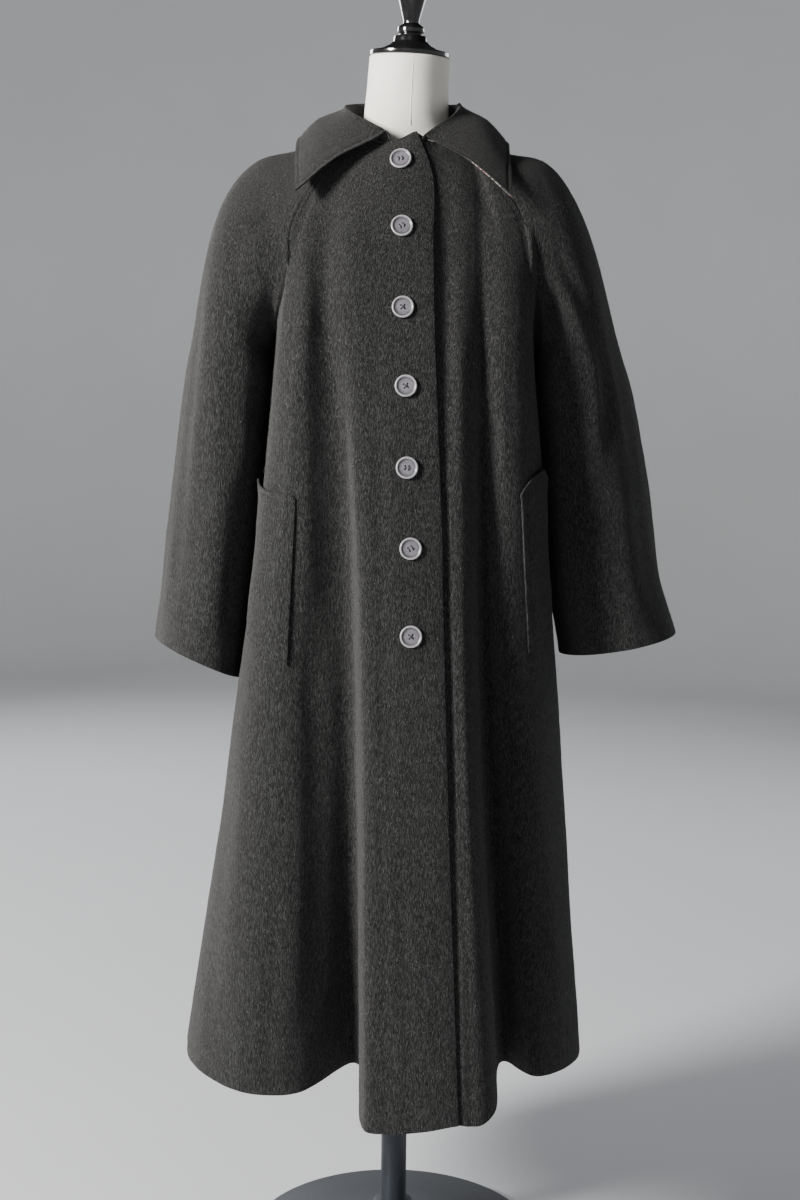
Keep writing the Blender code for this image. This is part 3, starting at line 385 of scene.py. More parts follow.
def tableAt(rows, along, column):
    known = [r for r in rows if r[column] is not None]
    places = [r[0] for r in known]
    values = [np.atleast_1d(np.array(r[column], float)) for r in known]
    k = min(max(int(np.searchsorted(places, along)) - 1, 0), len(places) - 2)
    share = (along - places[k]) / (places[k + 1] - places[k])
    p1, p2 = values[k], values[k + 1]
    before = values[k - 1] if k > 0 else 2 * p1 - p2
    after = values[k + 2] if k + 2 < len(values) else 2 * p2 - p1
    m1, m2 = (p2 - before) / 2, (after - p1) / 2
    s2, s3 = share * share, share**3
    return (2 * s3 - 3 * s2 + 1) * p1 + (s3 - 2 * s2 + share) * m1 + (3 * s2 - 2 * s3) * p2 + (s3 - s2) * m2


# A sleeve's section is flatter than an ellipse over the shoulder and boxier below.
def squared(angle, along):
    c, s = math.cos(angle), math.sin(angle)
    end = sleeves["shoulderEnd"]
    power = 2 - (2 - sleeves["shoulderFlatness"]) * max(1 - (along / end) ** 2, 0)
    if s > 0 and along > end:
        power = 2 + (sleeves["squareness"] - 2) * (along - end) / (2 - end)
    elif s < 0:
        near = math.exp(-(((along - 1) / sleeves["underarmSpread"]) ** 2))
        power = 2 - (2 - sleeves["underarmFlatness"]) * near
    grow = (abs(c) ** power + abs(s) ** power) ** (-1 / power)
    return c * grow, s * grow


def sleeveShares():
    even = np.linspace(0, 1, skin["sleeveColumns"] + 1)
    return even - skin["sleeveCrowding"] * np.sin(2 * math.pi * even) / (2 * math.pi)


def openSection(frontEnd, backEnd, outer, halfDepth, along):
    halfChord = np.linalg.norm(frontEnd - backEnd) / 2
    forward = (frontEnd - backEnd) / (2 * halfChord)
    start = -math.acos(min(halfChord / halfDepth, 1.0))
    cosStart, sinStart = squared(start, along)
    reach = (outer - (frontEnd + backEnd) / 2) / (1 - sinStart)
    row = []
    for share in sleeveShares():
        c, s = squared(start + (math.pi - 2 * start) * share, along)
        row.append(outer - reach + forward * (halfChord / cosStart * c) + reach * s)
    row[0], row[-1] = frontEnd, backEnd
    return row


def closedSection(inner, outer, halfDepth, turned, along):
    centre, reach = (inner + outer) / 2, (outer - inner) / 2
    turn = math.radians(turned) * (1 if inner[0] < 0 else -1)
    forward = np.array([math.sin(turn), -math.cos(turn), 0.0])
    row = []
    for share in sleeveShares():
        c, s = squared(-math.pi / 2 + 2 * math.pi * share, along)
        row.append(centre + forward * (halfDepth * c) + reach * s)
    row[0] = row[-1] = inner
    return row


def sleeveSkin(table, frontSeam, backSeam):
    rows, raglan = [], len(frontSeam) - 1
    for i in range(raglan):
        along = i / raglan
        outer, halfDepth = tableAt(table, along, 1), tableAt(table, along, 3)[0]
        rows.append(openSection(frontSeam[i], backSeam[i], outer, halfDepth, along))
    for i in range(skin["sleeveRows"] + 1):
        along = 1 + i / skin["sleeveRows"]
        inner, outer = tableAt(table, along, 2), tableAt(table, along, 1)
        halfDepth, turned = tableAt(table, along, 3)[0], tableAt(table, along, 4)[0]
        rows.append(closedSection(inner, outer, halfDepth, turned, along))
    return np.array(rows)


def gridNormals(grid):
    return unit(np.cross(np.gradient(grid, axis=0), np.gradient(grid, axis=1)))


# Where pieces meet they share one normal, so that their folds meet too.
def sharedNormals(grids):
    names = list(grids)
    own = {name: gridNormals(grids[name]) for name in names}
    points = np.concatenate([grids[name].reshape(-1, 3) for name in names])
    share = {name: skin["sleeveShare"] if "sleeve" in name else 1.0 for name in names}
    weights = np.concatenate([np.full(grids[name][..., 0].size, share[name]) for name in names])
    normals = np.concatenate([own[name].reshape(-1, 3) for name in names])
    _, same = np.unique(np.round(points * 1e5).astype(int), axis=0, return_inverse=True)
    same = same.reshape(-1)
    total = np.zeros((same.max() + 1, 3))
    np.add.at(total, same, normals * weights[:, None])
    for x, y, z in skin["underarms"]:
        at = int(np.argmin(np.linalg.norm(points - np.array([x, y, z]), axis=1)))
        total[same[at]] = np.array([math.copysign(0.25, x), 0.0, -1.0])
    shared = unit(total[same])
    out, start = {}, 0
    for name in names:
        count = grids[name][..., 0].size
        out[name] = shared[start : start + count].reshape(grids[name].shape)
        start += count
    return out


def nearUnderarm(grid):
    away = np.min([np.linalg.norm(grid - np.array(point), axis=2) for point in skin["underarms"]], axis=0)
    return np.exp(-((away / skin["underarmReach"]) ** 2))


# Edges are drawn in by half a seam's gap, along the cloth and square to the seam.
def drawnIn(grid, normals, edges, corner=0):
    out = grid.copy()
    half = skin["seamGap"] / 2 * (1 + skin["underarmEase"] * nearUnderarm(grid))
    sides = {
        "top": ((0, slice(None)), (1, slice(None))),
        "first": ((slice(None), 0), (slice(None), 1)),
        "last": ((slice(None), -1), (slice(None), -2)),
    }
    for edge in edges:
        at, inside = sides[edge]
        end = len(grid[at]) - 1
        turns = (0, corner, end) if corner and edge != "top" else (0, end)
        for start, stop in zip(turns, turns[1:]):
            part = slice(start, stop + 1)
            step = unit(np.cross(np.gradient(grid[at][part], axis=0), normals[at][part]))
            inward = ((grid[inside][part] - grid[at][part]) * step).sum(axis=1, keepdims=True)
            out[at][part] += step * np.sign(inward) * half[at][part][:, None]
    return out


# Smaller creases, each a soft ridge (+) or trough (-) seen from one side: the side, its depth and half
# width in mm, and its line as (across, height) in metres. Across is x from the front and back, y from
# the wearer's right and left.
creases = (
    # pieces, seen from, mm, half width in mm, line
    ("sleeve_left", "front", 5.5, 12, ((0.139, 1.287), (0.173, 1.255), (0.202, 1.213), (0.225, 1.166),
     (0.232, 1.110), (0.236, 0.985))),
    ("sleeve_left", "front", -7.0, 11, ((0.170, 1.290), (0.202, 1.232), (0.225, 1.185), (0.246, 1.120),
     (0.247, 1.020))),
    ("sleeve_left", "front", 3.0, 7, ((0.158, 1.255), (0.169, 1.213), (0.168, 1.150))),
    ("sleeve_left", "front", -3.0, 6, ((0.180, 1.238), (0.184, 1.194), (0.176, 1.140))),
    ("sleeve_left", "front", -3.2, 12, ((0.214, 1.060), (0.222, 0.960), (0.226, 0.840))),
    ("sleeve_left", "front", 2.6, 14, ((0.262, 1.010), (0.272, 0.930), (0.280, 0.830), (0.284, 0.760))),
    ("sleeve_left", "front", -1.8, 9, ((0.240, 0.975), (0.268, 0.955), (0.300, 0.950))),
    ("sleeve_left", "front", -2.4, 16, ((0.300, 1.000), (0.312, 0.900), (0.322, 0.790))),
    ("sleeve_right", "front", -2.6, 16, ((-0.196, 1.330), (-0.204, 1.180), (-0.212, 0.990))),
    ("sleeve_right", "front", 2.4, 12, ((-0.212, 1.030), (-0.221, 0.943), (-0.232, 0.800))),
    ("sleeve_right", "front", -2.2, 9, ((-0.190, 1.039), (-0.200, 0.943), (-0.214, 0.780))),
    ("sleeve_right", "front", -2.0, 14, ((-0.246, 1.020), (-0.254, 0.900), (-0.266, 0.780))),
    ("sleeve_right", "front", 2.2, 11, ((-0.168, 1.260), (-0.176, 1.180), (-0.184, 1.100))),
    ("sleeve_right", "front", -1.6, 10, ((-0.150, 1.330), (-0.186, 1.290), (-0.222, 1.275))),
    ("sleeve_right", "right", -3.6, 15, ((-0.050, 1.270), (-0.040, 1.150), (-0.046, 0.960), (-0.052, 0.800))),
    ("sleeve_right", "right", 2.6, 13, ((0.010, 1.200), (0.016, 1.020), (0.012, 0.850))),
    ("sleeve_right", "right", -3.0, 12, ((0.048, 1.240), (0.042, 1.080), (0.050, 0.920), (0.056, 0.760))),
    ("sleeve_left", "left", -3.4, 14, ((-0.044, 1.260), (-0.036, 1.120), (-0.044, 0.960), (-0.048, 0.820))),
    ("sleeve_left", "left", 2.8, 12, ((0.016, 1.180), (0.022, 1.030), (0.020, 0.870))),
    ("sleeve_left", "left", -2.8, 13, ((0.054, 1.230), (0.050, 1.090), (0.060, 0.940), (0.064, 0.790))),
    ("sleeve_right sleeve_left", "back", -3.4, 12, ((-0.150, 1.290), (-0.190, 1.230), (-0.218, 1.130),
     (-0.222, 0.960))),
    ("sleeve_right sleeve_left", "back", 3.0, 11, ((-0.170, 1.240), (-0.196, 1.150), (-0.200, 1.020))),
    ("sleeve_right sleeve_left", "back", -3.8, 12, ((0.150, 1.280), (0.186, 1.220), (0.216, 1.140),
     (0.232, 0.990))),
    ("sleeve_right sleeve_left", "back", 2.6, 12, ((0.200, 1.120), (0.214, 1.000), (0.222, 0.860))),
    ("sleeve_right sleeve_left", "back", -2.2, 10, ((-0.246, 0.980), (-0.254, 0.880), (-0.262, 0.770))),
    ("front_left", "front", -2.0, 10, ((0.064, 1.345), (0.064, 1.251), (0.067, 1.150))),
    ("front_left", "front", 3.4, 5.5, ((0.050, 1.230), (0.051, 1.150), (0.057, 0.980), (0.0665, 0.720),
     (0.077, 0.450), (0.086, 0.150))),
    ("front_left", "front", -3.8, 9, ((0.096, 1.100), (0.100, 0.900), (0.112, 0.700), (0.128, 0.480),
     (0.140, 0.200))),
    ("front_left", "front", 2.4, 12, ((0.094, 1.330), (0.099, 1.251), (0.101, 1.182), (0.108, 1.060))),
    ("front_left", "front", -1.8, 10, ((0.122, 1.230), (0.124, 1.130), (0.130, 1.040))),
    ("front_left", "front", -1.8, 13, ((0.112, 1.060), (0.122, 0.880), (0.136, 0.700), (0.146, 0.560))),
    ("front_left", "front", 2.4, 12, ((0.150, 0.760), (0.176, 0.560), (0.196, 0.400), (0.206, 0.250))),
    ("front_left", "front", -2.2, 12, ((0.140, 0.620), (0.158, 0.450), (0.172, 0.250))),
    ("front_right", "front", -1.0, 9, ((-0.090, 1.320), (-0.086, 1.200), (-0.078, 1.040), (-0.068, 0.880),
     (-0.060, 0.680), (-0.054, 0.460), (-0.050, 0.180))),
    ("front_right", "front", 2.6, 12, ((-0.108, 1.300), (-0.112, 1.160), (-0.110, 0.980), (-0.106, 0.820))),
    ("front_right", "front", -3.0, 15, ((-0.112, 0.900), (-0.101, 0.690), (-0.104, 0.430), (-0.124, 0.240))),
    ("front_right", "front", 2.4, 13, ((-0.086, 0.880), (-0.080, 0.650), (-0.079, 0.430), (-0.086, 0.300))),
    ("front_right", "front", 2.6, 19, ((-0.150, 0.880), (-0.168, 0.690), (-0.180, 0.500), (-0.192, 0.240))),
    ("front_right", "front", -2.2, 13, ((-0.196, 0.700), (-0.214, 0.500), (-0.232, 0.300))),
    ("front_right", "front", -1.8, 11, ((-0.140, 0.560), (-0.148, 0.400), (-0.152, 0.230))),
    ("front_right", "front", -1.5, 9, ((-0.030, 1.140), (-0.024, 0.980), (-0.016, 0.800), (-0.010, 0.620))),
    ("front_right", "front", -1.4, 9, ((-0.084, 1.340), (-0.092, 1.250), (-0.096, 1.150))),
    ("front_right", "front", 1.4, 9, ((-0.112, 1.300), (-0.114, 1.210), (-0.124, 1.080))),
    ("front_right", "front", -1.3, 9, ((0.000, 0.620), (0.012, 0.440), (0.020, 0.230))),
    ("front_right", "right", -2.6, 12, ((-0.040, 1.000), (-0.042, 0.760), (-0.046, 0.500), (-0.050, 0.240))),
    ("front_left", "left", -2.2, 10, ((-0.028, 0.980), (-0.026, 0.700), (-0.022, 0.440))),
    ("back", "right", -3.0, 14, ((0.040, 1.060), (0.046, 0.800), (0.052, 0.520), (0.056, 0.240))),
    ("back", "left", -3.0, 14, ((0.036, 1.080), (0.044, 0.820), (0.050, 0.560), (0.054, 0.240))),
    ("back", "back", -2.4, 12, ((-0.030, 1.300), (-0.026, 1.120), (-0.024, 0.900), (-0.030, 0.620))),
    ("back", "back", 2.0, 12, ((0.024, 1.340), (0.026, 1.200), (0.028, 1.000), (0.026, 0.820))),
    ("back", "back", -2.8, 13, ((0.076, 1.180), (0.078, 0.960), (0.082, 0.700), (0.086, 0.420))),
    ("back", "back", 2.4, 13, ((0.120, 1.020), (0.128, 0.780), (0.136, 0.520), (0.144, 0.240))),
    ("back", "back", -2.6, 14, ((0.170, 0.860), (0.182, 0.600), (0.196, 0.360))),
    ("back", "back", -2.8, 12, ((-0.078, 1.160), (-0.084, 0.900), (-0.092, 0.640), (-0.098, 0.240))),
    ("back", "back", 2.2, 13, ((-0.126, 1.060), (-0.138, 0.800), (-0.150, 0.500))),
    ("back", "back", -2.6, 13, ((-0.176, 0.880), (-0.196, 0.620), (-0.214, 0.240))),
    ("back", "back", -1.8, 9, ((0.000, 0.760), (0.004, 0.520), (0.004, 0.240))),
    ("back", "back", 1.8, 10, ((-0.060, 0.700), (-0.066, 0.480), (-0.070, 0.300))),
    ("front_right", "front", -5.0, 8, ((-0.074, 1.180), (-0.070, 1.080), (-0.062, 0.950), (-0.054, 0.700),
     (-0.049, 0.450), (-0.044, 0.150))),
)
views = {
    "front": (0, (0.0, -1.0, 0.0)),
    "back": (0, (0.0, 1.0, 0.0)),
    "right": (1, (-1.0, 0.0, 0.0)),
    "left": (1, (1.0, 0.0, 0.0)),
}
creaseForm = {"parts": 6, "facing": 0.1, "turn": 0.5, "fade": 0.22}
unevenness = {
    "depth": 0.0011,
    "wide": 0.045,
    "tall": 0.13,
    "pucker": 0.00035,
    "puckerSize": 0.012,
    "puckerSquash": 0.6,
    "puckerPlace": (7, 3, 1),
}


# How far each point lies from a line, and the share of the line at its nearest place.
def lineDistance(flat, line):
    best = np.full(flat.shape[:-1], 1e9)
    place = np.zeros(flat.shape[:-1])
    run = runOf(line)
    run /= run[-1]
    for k, (a, b) in enumerate(zip(line, line[1:])):
        t = np.clip(((flat - a) * (b - a)).sum(axis=-1) / max(((b - a) ** 2).sum(), 1e-12), 0, 1)
        away = np.linalg.norm(flat - (a + t[..., None] * (b - a)), axis=-1)
        nearer = away < best
        best = np.where(nearer, away, best)
        place = np.where(nearer, run[k] + t * (run[k + 1] - run[k]), place)
    return best, place


# How far creases and the cloth's own unevenness move each point out, in metres.
def creaseDepth(name, grid, normals):
    depth = np.zeros(grid.shape[:2])
    for pieces, side, millimetres, halfWidth, line in creases:
        if not any(word in name for word in pieces.split()):
            continue
        across, facing = views[side]
        away, place = lineDistance(grid[..., [across, 2]], smoothLine(line, creaseForm["parts"]))
        faces = np.clip((normals @ np.array(facing) + creaseForm["facing"]) / creaseForm["turn"], 0, 1)
        fade = softStep(np.clip(np.minimum(place, 1 - place) / creaseForm["fade"], 0, 1))
        depth += millimetres / 1000 * np.exp(-((away * 1000 / halfWidth) ** 2)) * fade * faces
    puckerPlace = Vector(unevenness["puckerPlace"])
    for index in np.ndindex(depth.shape):
        x, y, z = grid[index]
        slow = noise.noise(Vector((x, y, 0)) / unevenness["wide"] + Vector((0, 0, z / unevenness["tall"])))
        small = Vector((x, y, z * unevenness["puckerSquash"])) / unevenness["puckerSize"]
        depth[index] += unevenness["depth"] * slow + unevenness["pucker"] * noise.noise(small + puckerPlace)
    return depth


# A seam sinks a little, and rows of stitches beside it press a shallow channel into the cloth.
seamForm = {"sink": 0.0009, "width": 0.0022, "stitchAway": 0.006, "stitchSink": 0.0005, "stitchWidth": 0.0018}


def seamDepth(grid, line, stitched=True, form=seamForm):
    tree = KDTree(len(line))
    for k, point in enumerate(line):
        tree.insert(point, k)
    tree.balance()
    flat = grid.reshape(-1, 3)
    away = np.array([tree.find(p)[2] for p in flat]).reshape(grid.shape[:2])
    depth = -form["sink"] * np.exp(-((away / form["width"]) ** 2))
    if stitched:
        gap = (away - form["stitchAway"]) / form["stitchWidth"]
        depth -= form["stitchSink"] * np.exp(-(gap**2))
    return depth


def denseLine(points, spacing=0.001):
    run = runOf(points)
    return placesAt(points, run, np.arange(0, run[-1], spacing))


def meshFrom(bm, name):
    mesh = bpy.data.meshes.new(name)
    bm.to_mesh(mesh)
    bm.free()
    return mesh


# A flat grid moved onto the points, its faces outwards.
def gridMesh(name, grid):
    rows, columns = grid.shape[:2]
    bm = bmesh.new()
    bmesh.ops.create_grid(bm, x_segments=columns - 1, y_segments=rows - 1, size=0.5)
    for v in bm.verts:
        v.co = grid[round((0.5 - v.co.y) * (rows - 1)), round((v.co.x + 0.5) * (columns - 1))]
    return meshFrom(bm, name)


def addPiece(name, mesh, material):
    piece = bpy.data.objects.new(name, mesh)
    mesh.materials.append(material)
    mesh.shade_smooth()
    scene.collection.objects.link(piece)
    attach(piece, "root")
    return piece


def roundEdges(piece, width, degrees):
    rounded = piece.modifiers.new("edge", "BEVEL")
    rounded.width = width
    rounded.segments = 3
    rounded.limit_method = "ANGLE"
    rounded.angle_limit = math.radians(degrees)


# Cloth gets its thickness inwards, and its cut and folded edges are rounded.
def clothPiece(name, grid, material, thickness, edge=0.0010):
    piece = addPiece(name, gridMesh(name, grid), material)
    wall = piece.modifiers.new("wall", "SOLIDIFY")
    wall.thickness = thickness
    wall.offset = -1.0
    roundEdges(piece, edge, 60)
    return piece


def surfaceArea(grid):
    down, across = np.diff(grid, axis=0)[:, :-1], np.diff(grid, axis=1)[:-1]
    return float(np.linalg.norm(np.cross(down, across), axis=2).sum())


front, frontAt = loft(frontLines)
back, backAt = loft(backLines)
rightSeam = front[0, : frontAt["right_corner"] + 1][::-1]
leftSeam = front[0, frontAt["left_corner"] :]
rightBackSeam = back[0, backAt["right_back_corner"] :]
leftBackSeam = back[0, : backAt["left_back_corner"] + 1][::-1]
rightSleeve = sleeveSkin(sleeves["right"], rightSeam, rightBackSeam)
leftSleeve = sleeveSkin(sleeves["left"], leftSeam, leftBackSeam)[:, ::-1]
edgeColumn, underColumn = frontAt["front_edge"], frontAt["under_edge"]
frontNormals = gridNormals(front)
grids = {
    "front_right": front[:, : edgeColumn + 1],
    "front_left": front[:, underColumn:],
    "back": back,
    "sleeve_right": rightSleeve[:, ::-1],
    "sleeve_left": leftSleeve[:, ::-1],
}
normals = sharedNormals(grids)

# The sleeves' cloth runs smoothly past the underarms, all but at the seams themselves.
underarmEasing = {"rounds": 60, "rows": 13.0, "columns": 9.0, "power": 1.5, "strength": 0.8}


def easedSleeve(grid):
    rows, columns = np.arange(len(grid)), np.arange(grid.shape[1])
    near = np.exp(-(((rows - raglanRows) / underarmEasing["rows"]) ** 2))
    inside = np.clip(np.minimum(columns, columns[-1] - columns) / underarmEasing["columns"], 0, 1)
    share = (near[:, None] * inside[None, :] ** underarmEasing["power"])[..., None]
    out = grid.copy()
    for _ in range(underarmEasing["rounds"]):
        between = (out[:-2] + out[2:]) / 2
        out[1:-1] += share[1:-1] * (between - out[1:-1]) * underarmEasing["strength"]
    return out


for name in ("sleeve_right", "sleeve_left"):
    grids[name] = easedSleeve(grids[name])
print("skin made")

# The left front lies under the right one from its own edge to just past the right one's.
pastEdge = np.arange(front.shape[1] - underColumn) - (edgeColumn - underColumn)
lap = softStep(np.clip(1 - pastEdge / skin["finer"], 0, 1)) * (skin["wall"] + skin["lapGap"])
grids["front_left"] = grids["front_left"] - frontNormals[:, underColumn:] * lap[None, :, None]

raglans = np.concatenate([denseLine(seam) for seam in (rightSeam, leftSeam, rightBackSeam, leftBackSeam)])
sideSeams = np.concatenate([denseLine(front[:, 0]), denseLine(front[:, -1])])
necklineEdge = denseLine(front[0, frontAt["right_corner"] : frontAt["left_corner"] + 1])
neckForm = {**seamForm, "sink": 0.0003}
worked = {}
for name, grid in grids.items():
    depth = creaseDepth(name, grid, normals[name]) * (1 - nearUnderarm(grid))
    depth += seamDepth(grid, raglans)
    if "sleeve" not in name:
        depth += seamDepth(grid, sideSeams, stitched=False)
    if "front" in name:
        depth += seamDepth(grid, necklineEdge, form=neckForm)
    worked[name] = grid + normals[name] * depth[..., None]

# Below the underarms each sleeve rests back against the coat's side, so that no light shows between them.
sleeveRest = {
    "clear": 0.0012,
    "most": 0.020,
    "low": 0.79,
    "fade": 0.09,
    "high": 1.182,
    "fadeHigh": 0.014,
    "even": 5,  # rows
    "evenWidth": 2.0,
    "reach": 0.06,
    "facing": 0.1,
    "steep": 1.3,
}


def coatSides():
    verts, faces = [], []
    for name in ("front_right", "front_left", "back"):
        part = worked[name]
        at = np.arange(part[..., 0].size).reshape(part.shape[:2]) + len(verts)
        verts += part.reshape(-1, 3).tolist()
        corners = np.stack([at[:-1, :-1], at[1:, :-1], at[1:, 1:], at[:-1, 1:]], axis=-1)
        faces += corners.reshape(-1, 4).tolist()
    return BVHTree.FromPolygons(verts, faces)


def restedSleeve(grid, outward, towards, sides):
    apart = np.full(len(grid), sleeveRest["most"] + sleeveRest["clear"])
    for i, j in np.argwhere(outward[..., 0] * towards > sleeveRest["facing"]):
        hit = sides.ray_cast(Vector(grid[i, j]), Vector((towards, 0, 0)), sleeveRest["reach"])
        if hit[0]:
            apart[i] = min(apart[i], hit[3])
    height = grid[..., 2].mean(axis=1)
    move = np.clip(apart - sleeveRest["clear"], 0, sleeveRest["most"])
    least = np.array([move[max(k - 1, 0) : k + 2].min() for k in range(len(move))])
    even = sleeveRest["even"]
    soft = np.exp(-((np.arange(-even, even + 1) / sleeveRest["evenWidth"]) ** 2))
    least = np.minimum(move, np.convolve(np.pad(least, even, mode="edge"), soft / soft.sum(), mode="valid"))
    rise = np.clip((height - sleeveRest["low"]) / sleeveRest["fade"], 0, 1)
    drop = np.clip((sleeveRest["high"] - height) / sleeveRest["fadeHigh"], 0, 1)
    least *= softStep(rise) * softStep(drop)
    turned = np.clip(outward[..., 0] * towards * sleeveRest["steep"], 0, 1)
    out = grid.copy()
    out[..., 0] += towards * least[:, None] * softStep(turned)
    print("a sleeve rested by up to", round(float(least.max()) * 1000, 1), "mm")
    return out


sides = coatSides()
for name, towards in (("sleeve_right", 1), ("sleeve_left", -1)):
    worked[name] = restedSleeve(worked[name], normals[name], towards, sides)
print("creases worked")

# The cut of each main piece: its flat width and length in metres, how it is held and what it rests on.
cuts = {
    "front_right": ((0.46, 1.22), "hung", ["form_torso"]),
    "front_left": ((0.46, 1.22), "hung", ["form_torso"]),
    "back": ((0.80, 1.22), "hung", ["form_torso"]),
    "sleeve_right": ((0.50, 0.78), "draped", ["form_torso"]),
    "sleeve_left": ((0.50, 0.78), "draped", ["form_torso"]),
}
edgesDrawn = {"front_right": ("top", "first"), "front_left": ("top", "last")}
clothOf = {"sleeve_right": rightSleeveWool, "sleeve_left": leftSleeveWool}
for name, grid in worked.items():
    corner = raglanRows if "sleeve" in name else 0
    edges = edgesDrawn.get(name, ("top", "first", "last"))
    outside = drawnIn(grid, normals[name], edges, corner)
    piece = clothPiece(f"{name}_cloth", outside, clothOf.get(name, coatWool), skin["wall"])
    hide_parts(name)
    flat, held, rests = cuts[name]
    area = surfaceArea(outside)
    print(name, "area", round(area, 3), "columns", outside.shape[1], "rows", outside.shape[0])
    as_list(rests)
print("main pieces made")

# The collar, from its end at the wearer's right front round the back to the left one.
collar = {
    "lines": (
        # name, foot, roll, edge, columns
        ("right_end", (-0.017, -0.0745, 1.4035), (-0.023, -0.0795, 1.4150), (-0.127, -0.112, 1.341), 3),
        ("right_front", (-0.0600, -0.0550, 1.4150), (-0.0625, -0.0540, 1.4380), (-0.131, -0.058, 1.377), 3),
        ("right_shoulder", (-0.0685, 0.000, 1.4300), (-0.073, 0.000, 1.4555), (-0.130, 0.004, 1.4195), 3),
        ("right_back", (-0.0580, 0.0450, 1.4280), (-0.0590, 0.0460, 1.4650), (-0.098, 0.096, 1.394), 3),
        ("centre_back", (0.000, 0.0625, 1.4350), (0.000, 0.0650, 1.470), (0.000, 0.112, 1.388), 3),
        ("left_back", (0.0580, 0.0450, 1.4280), (0.0590, 0.0460, 1.4650), (0.096, 0.096, 1.394), 3),
        ("left_shoulder", (0.0685, 0.000, 1.4300), (0.066, 0.000, 1.4605), (0.124, 0.004, 1.4145), 3),
        ("left_front", (0.0600, -0.0550, 1.4150), (0.0600, -0.0540, 1.4400), (0.1255, -0.055, 1.389), 3),
        ("left_end", (0.020, -0.0760, 1.4035), (0.0240, -0.0835, 1.4105), (0.126, -0.112, 1.337), 0),
    ),
    "seat": 0.0002,
    "rollRadius": 0.0046,
    "crown": 0.006,
    "steps": (8, 5, 5, 10, 22),  # rows between its foot, stand, roll, fall, middle and edge
    "edgeCrowding": 1.6,
    "finer": 9,
    "evenFrom": 8,  # the row from which the columns are evened out, fully so as many rows on
    "evenRounds": 25,
    "uneven": 0.0009,
    "unevenSize": 0.035,
    "topWall": 0.0014,
    "underWall": 0.0008,
    "underGap": 0.00005,
    "underStart": 7,  # rows down the fall where the under collar starts
    "underShows": 0.0007,  # how far it peeps out below the left wing's front edge
    "underBack": 0.0012,  # how far it stays back from the right wing's, and from both near its start
    "underBackRows": 6,
    "underWider": (0.9, 14),  # its start reaches this share more or less, over this many rows
    "underFree": 0.0010,  # how far it stays back from the collar's outer edge
    "seam": {"sink": 0.0, "width": 0.002, "stitchAway": 0.0055, "stitchSink": 0.0013, "stitchWidth": 0.0013},
}
rollRow, fallRow = sum(collar["steps"][:2]), sum(collar["steps"][:3])


def collarSections(spec):
    sections = []
    for _, foot, roll, edge, _ in spec["lines"]:
        foot, roll, edge = (np.array(p, float) for p in (foot, roll, edge))
        out = edge - roll
        level = np.array([out[0], out[1], 0.0])
        level /= np.linalg.norm(level)
        drop = np.array([0, 0, spec["rollRadius"]])
        standTop = roll - level * spec["rollRadius"] - drop
        fallTop = roll + level * spec["rollRadius"] - drop
        lift = np.cross(out, np.cross(level, np.array([0, 0, 1.0])))
        lift /= np.linalg.norm(lift)
        lift = lift if lift[2] > 0 else -lift
        sections.append([foot, standTop, roll, fallTop, (fallTop + edge) / 2 + lift * spec["crown"], edge])
    return np.array(sections)


def nearestOn(line, point):
    a, b = line[:-1], line[1:]
    share = np.clip(((point - a) * (b - a)).sum(axis=1) / np.maximum(((b - a) ** 2).sum(axis=1), 1e-12), 0, 1)
    near = a + share[:, None] * (b - a)
    return near[np.argmin(np.linalg.norm(near - point, axis=1))]


def collarSkin(spec, neckline):
    sections = collarSections(spec)
    rows = []
    for k, count in enumerate(spec["steps"]):
        for s in range(count):
            share = s / count if k < 4 else 1 - (1 - s / count) ** spec["edgeCrowding"]
            rows.append(splinePoint(sections.transpose(1, 0, 2), k, share))
    rows.append(sections[:, -1])
    counts = [line[4] for line in spec["lines"]]
    grid, _ = columnsThrough(np.array(rows).transpose(1, 0, 2), counts, spec["finer"])
    evening = np.clip((np.arange(len(grid)) - spec["evenFrom"]) / spec["evenFrom"], 0, 1)[:, None, None]
    for _ in range(spec["evenRounds"]):
        grid[:, 1:-1] += evening * ((grid[:, :-2] + grid[:, 2:]) / 2 - grid[:, 1:-1])
    grid[0] = [nearestOn(neckline, point) + np.array([0, 0, spec["seat"]]) for point in grid[0]]
    return grid


rightFront, leftFront = worked["front_right"], worked["front_left"]
neckline = np.concatenate([
    rightFront[0, frontAt["right_corner"] : frontAt["centre_front"] + 1][::-1],
    rightSleeve[0],
    worked["back"][0, backAt["left_back_corner"] : backAt["right_back_corner"] + 1][::-1],
    leftSleeve[0],
    leftFront[0, edgeColumn - underColumn + 1 : frontAt["left_corner"] - underColumn + 1][::-1],
])
collarGrid = collarSkin(collar, neckline)
collarNormals = gridNormals(collarGrid)  # these point to the collar's underside
outline = np.concatenate([collarGrid[fallRow:, 0], collarGrid[-1], collarGrid[fallRow:, -1][::-1]])
collarDepth = seamDepth(collarGrid, denseLine(outline), form=collar["seam"])
for index in np.ndindex(collarDepth.shape):
    collarDepth[index] += collar["uneven"] * noise.noise(Vector(collarGrid[index]) / collar["unevenSize"])
collarTop = collarGrid - collarNormals * collarDepth[..., None]

# The collar's top layer is the coat's wool. Its under collar is a red and cream flecked tweed.
collarPiece = clothPiece("collar_cloth", collarTop[:, ::-1], coatWool, collar["topWall"], edge=0.0006)
collarArea = surfaceArea(collarTop)
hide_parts("collar")
print("collar area", round(collarArea, 4))

